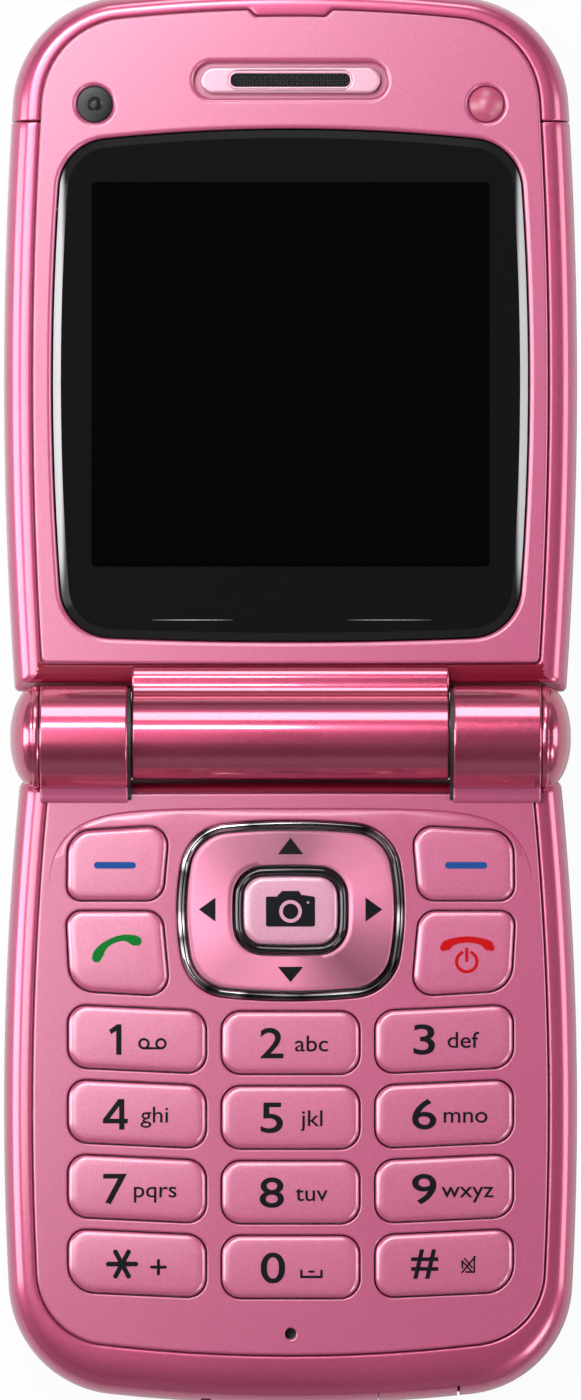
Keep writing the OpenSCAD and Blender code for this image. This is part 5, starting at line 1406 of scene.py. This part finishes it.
# %% Floor
def floor():
    bm = bmesh.new()
    bmesh.ops.create_grid(bm, x_segments=8, y_segments=8, size=3.0)
    mesh = bpy.data.meshes.new("table")
    bm.to_mesh(mesh)
    bm.free()
    made = bpy.data.objects.new("table", mesh)
    bpy.context.scene.collection.objects.link(made)
    material = bpy.data.materials.new("pale_table")
    material.use_nodes = True
    tree = material.node_tree
    tree.nodes.clear()
    matt = node(tree, "ShaderNodeBsdfDiffuse", {"Color": (0.62, 0.62, 0.62, 1)})
    glow = node(tree, "ShaderNodeEmission", {"Color": (1, 1, 1, 1), "Strength": 1.0})
    path = node(tree, "ShaderNodeLightPath").outputs
    share = node(tree, "ShaderNodeMath", {0: path["Is Camera Ray"], 1: 0.95}, operation="MULTIPLY")
    mixed = node(tree, "ShaderNodeMixShader", {"Fac": share.outputs[0], 1: matt.outputs[0], 2: glow.outputs[0]})
    out = tree.nodes.new("ShaderNodeOutputMaterial")
    tree.links.new(mixed.outputs[0], out.inputs["Surface"])
    mesh.materials.append(material)


floor()


# %% Light
ROOM = [(0.0, 0.16), (0.2, 0.26), (0.45, 0.26), (0.66, 0.06), (0.8, 0.05), (0.93, 0.1), (0.985, 0.12), (1.0, 0.03)]


def sky():
    """A soft grey room, pale along its walls and dark above; ROOM is (height of the direction, grey)."""
    world = bpy.data.worlds.new("soft_room")
    bpy.context.scene.world = world
    world.use_nodes = True
    tree = world.node_tree
    way = node(tree, "ShaderNodeTexCoord").outputs["Generated"]
    up = node(tree, "ShaderNodeSeparateXYZ", {0: way}).outputs["Z"]
    grey = tones(tree, up, ROOM, (1, 1, 1))
    tree.links.new(grey, tree.nodes["Background"].inputs["Color"])


def softbox(name, at, towards, size, power):
    """A rectangular light; one without a target hangs level and shines straight down."""
    light = bpy.data.lights.new(name, "AREA")
    light.shape = "RECTANGLE"
    light.size, light.size_y = size
    light.energy = power
    made = bpy.data.objects.new(name, light)
    made.location = at
    if towards:
        made.rotation_euler = (Vector(towards) - Vector(at)).to_track_quat("-Z", "Y").to_euler()
    made.visible_camera = False
    bpy.context.scene.collection.objects.link(made)


sky()
softbox("over_left", (-0.075, 0.02, 0.25), None, (0.08, 0.15), 0.21)
softbox("over_top", (-0.055, 0.1175, 0.25), None, (0.11, 0.045), 0.27)
softbox("far_side", (0.0, 0.47, 0.3), (0.0, 0.0, 0.01), (0.24, 0.22), 0.88)
softbox("near_right", (0.27, -0.27, 0.3), (0.0, -0.03, 0.0), (0.14, 0.14), 0.45)
softbox("left_side", (-0.36, 0.0, 0.22), (0.0, 0.0, 0.0), (0.2, 0.34), 1.25)
softbox("right_side", (0.42, 0.0, 0.22), (0.0, 0.0, 0.0), (0.24, 0.3), 0.8)

# %% Camera
CAMERA_HEIGHT, VIEW_HEIGHT, VIEW_CENTRE_Y = 1.2, 0.1266, -0.000355
camera_data = bpy.data.cameras.new("camera")
camera_data.sensor_width = 36
camera_data.lens = 36 * (CAMERA_HEIGHT - FACE_Z * MM) / VIEW_HEIGHT
camera = bpy.data.objects.new("camera", camera_data)
camera.location = (0, VIEW_CENTRE_Y, CAMERA_HEIGHT)
bpy.context.scene.collection.objects.link(camera)
bpy.context.scene.camera = camera
bpy.context.scene.view_settings.view_transform = "Standard"

# %% [markdown]
# ## Inner parts
# The parts inside keep their CAD meshes, and each gets the finish that its material slot names.

# %% Finishes of the CAD nodes that stay
FINISHES = {
    "pink_shell": SHELL_PINK, "pink_panel": PANEL_PINK, "pink_hinge": HINGE_PINK, "pink_keys": KEY_PINK,
    "pink_ring": RING_PINK_PAINTED_SHEEN, "chrome_trim": CHROME, "dark_trim": DARK_CHROME, "lens_black": LENS_BLACK,
    "screen": BLACK_PLASTIC, "mesh_black": BLACK_PLASTIC, "inner_black": BLACK_PLASTIC, "board": BOARD,
    "dome_sheet": DOMES, "steel": STEEL, "contact": CONTACT, "flex": FLEX, "battery_skin": BATTERY,
}
for entry in frame["record"]["subparts"]:
    mesh = frame["nodes"][entry["node"]].data
    mesh.materials.clear()
    mesh.materials.append(FINISHES[entry["material_slot"]])
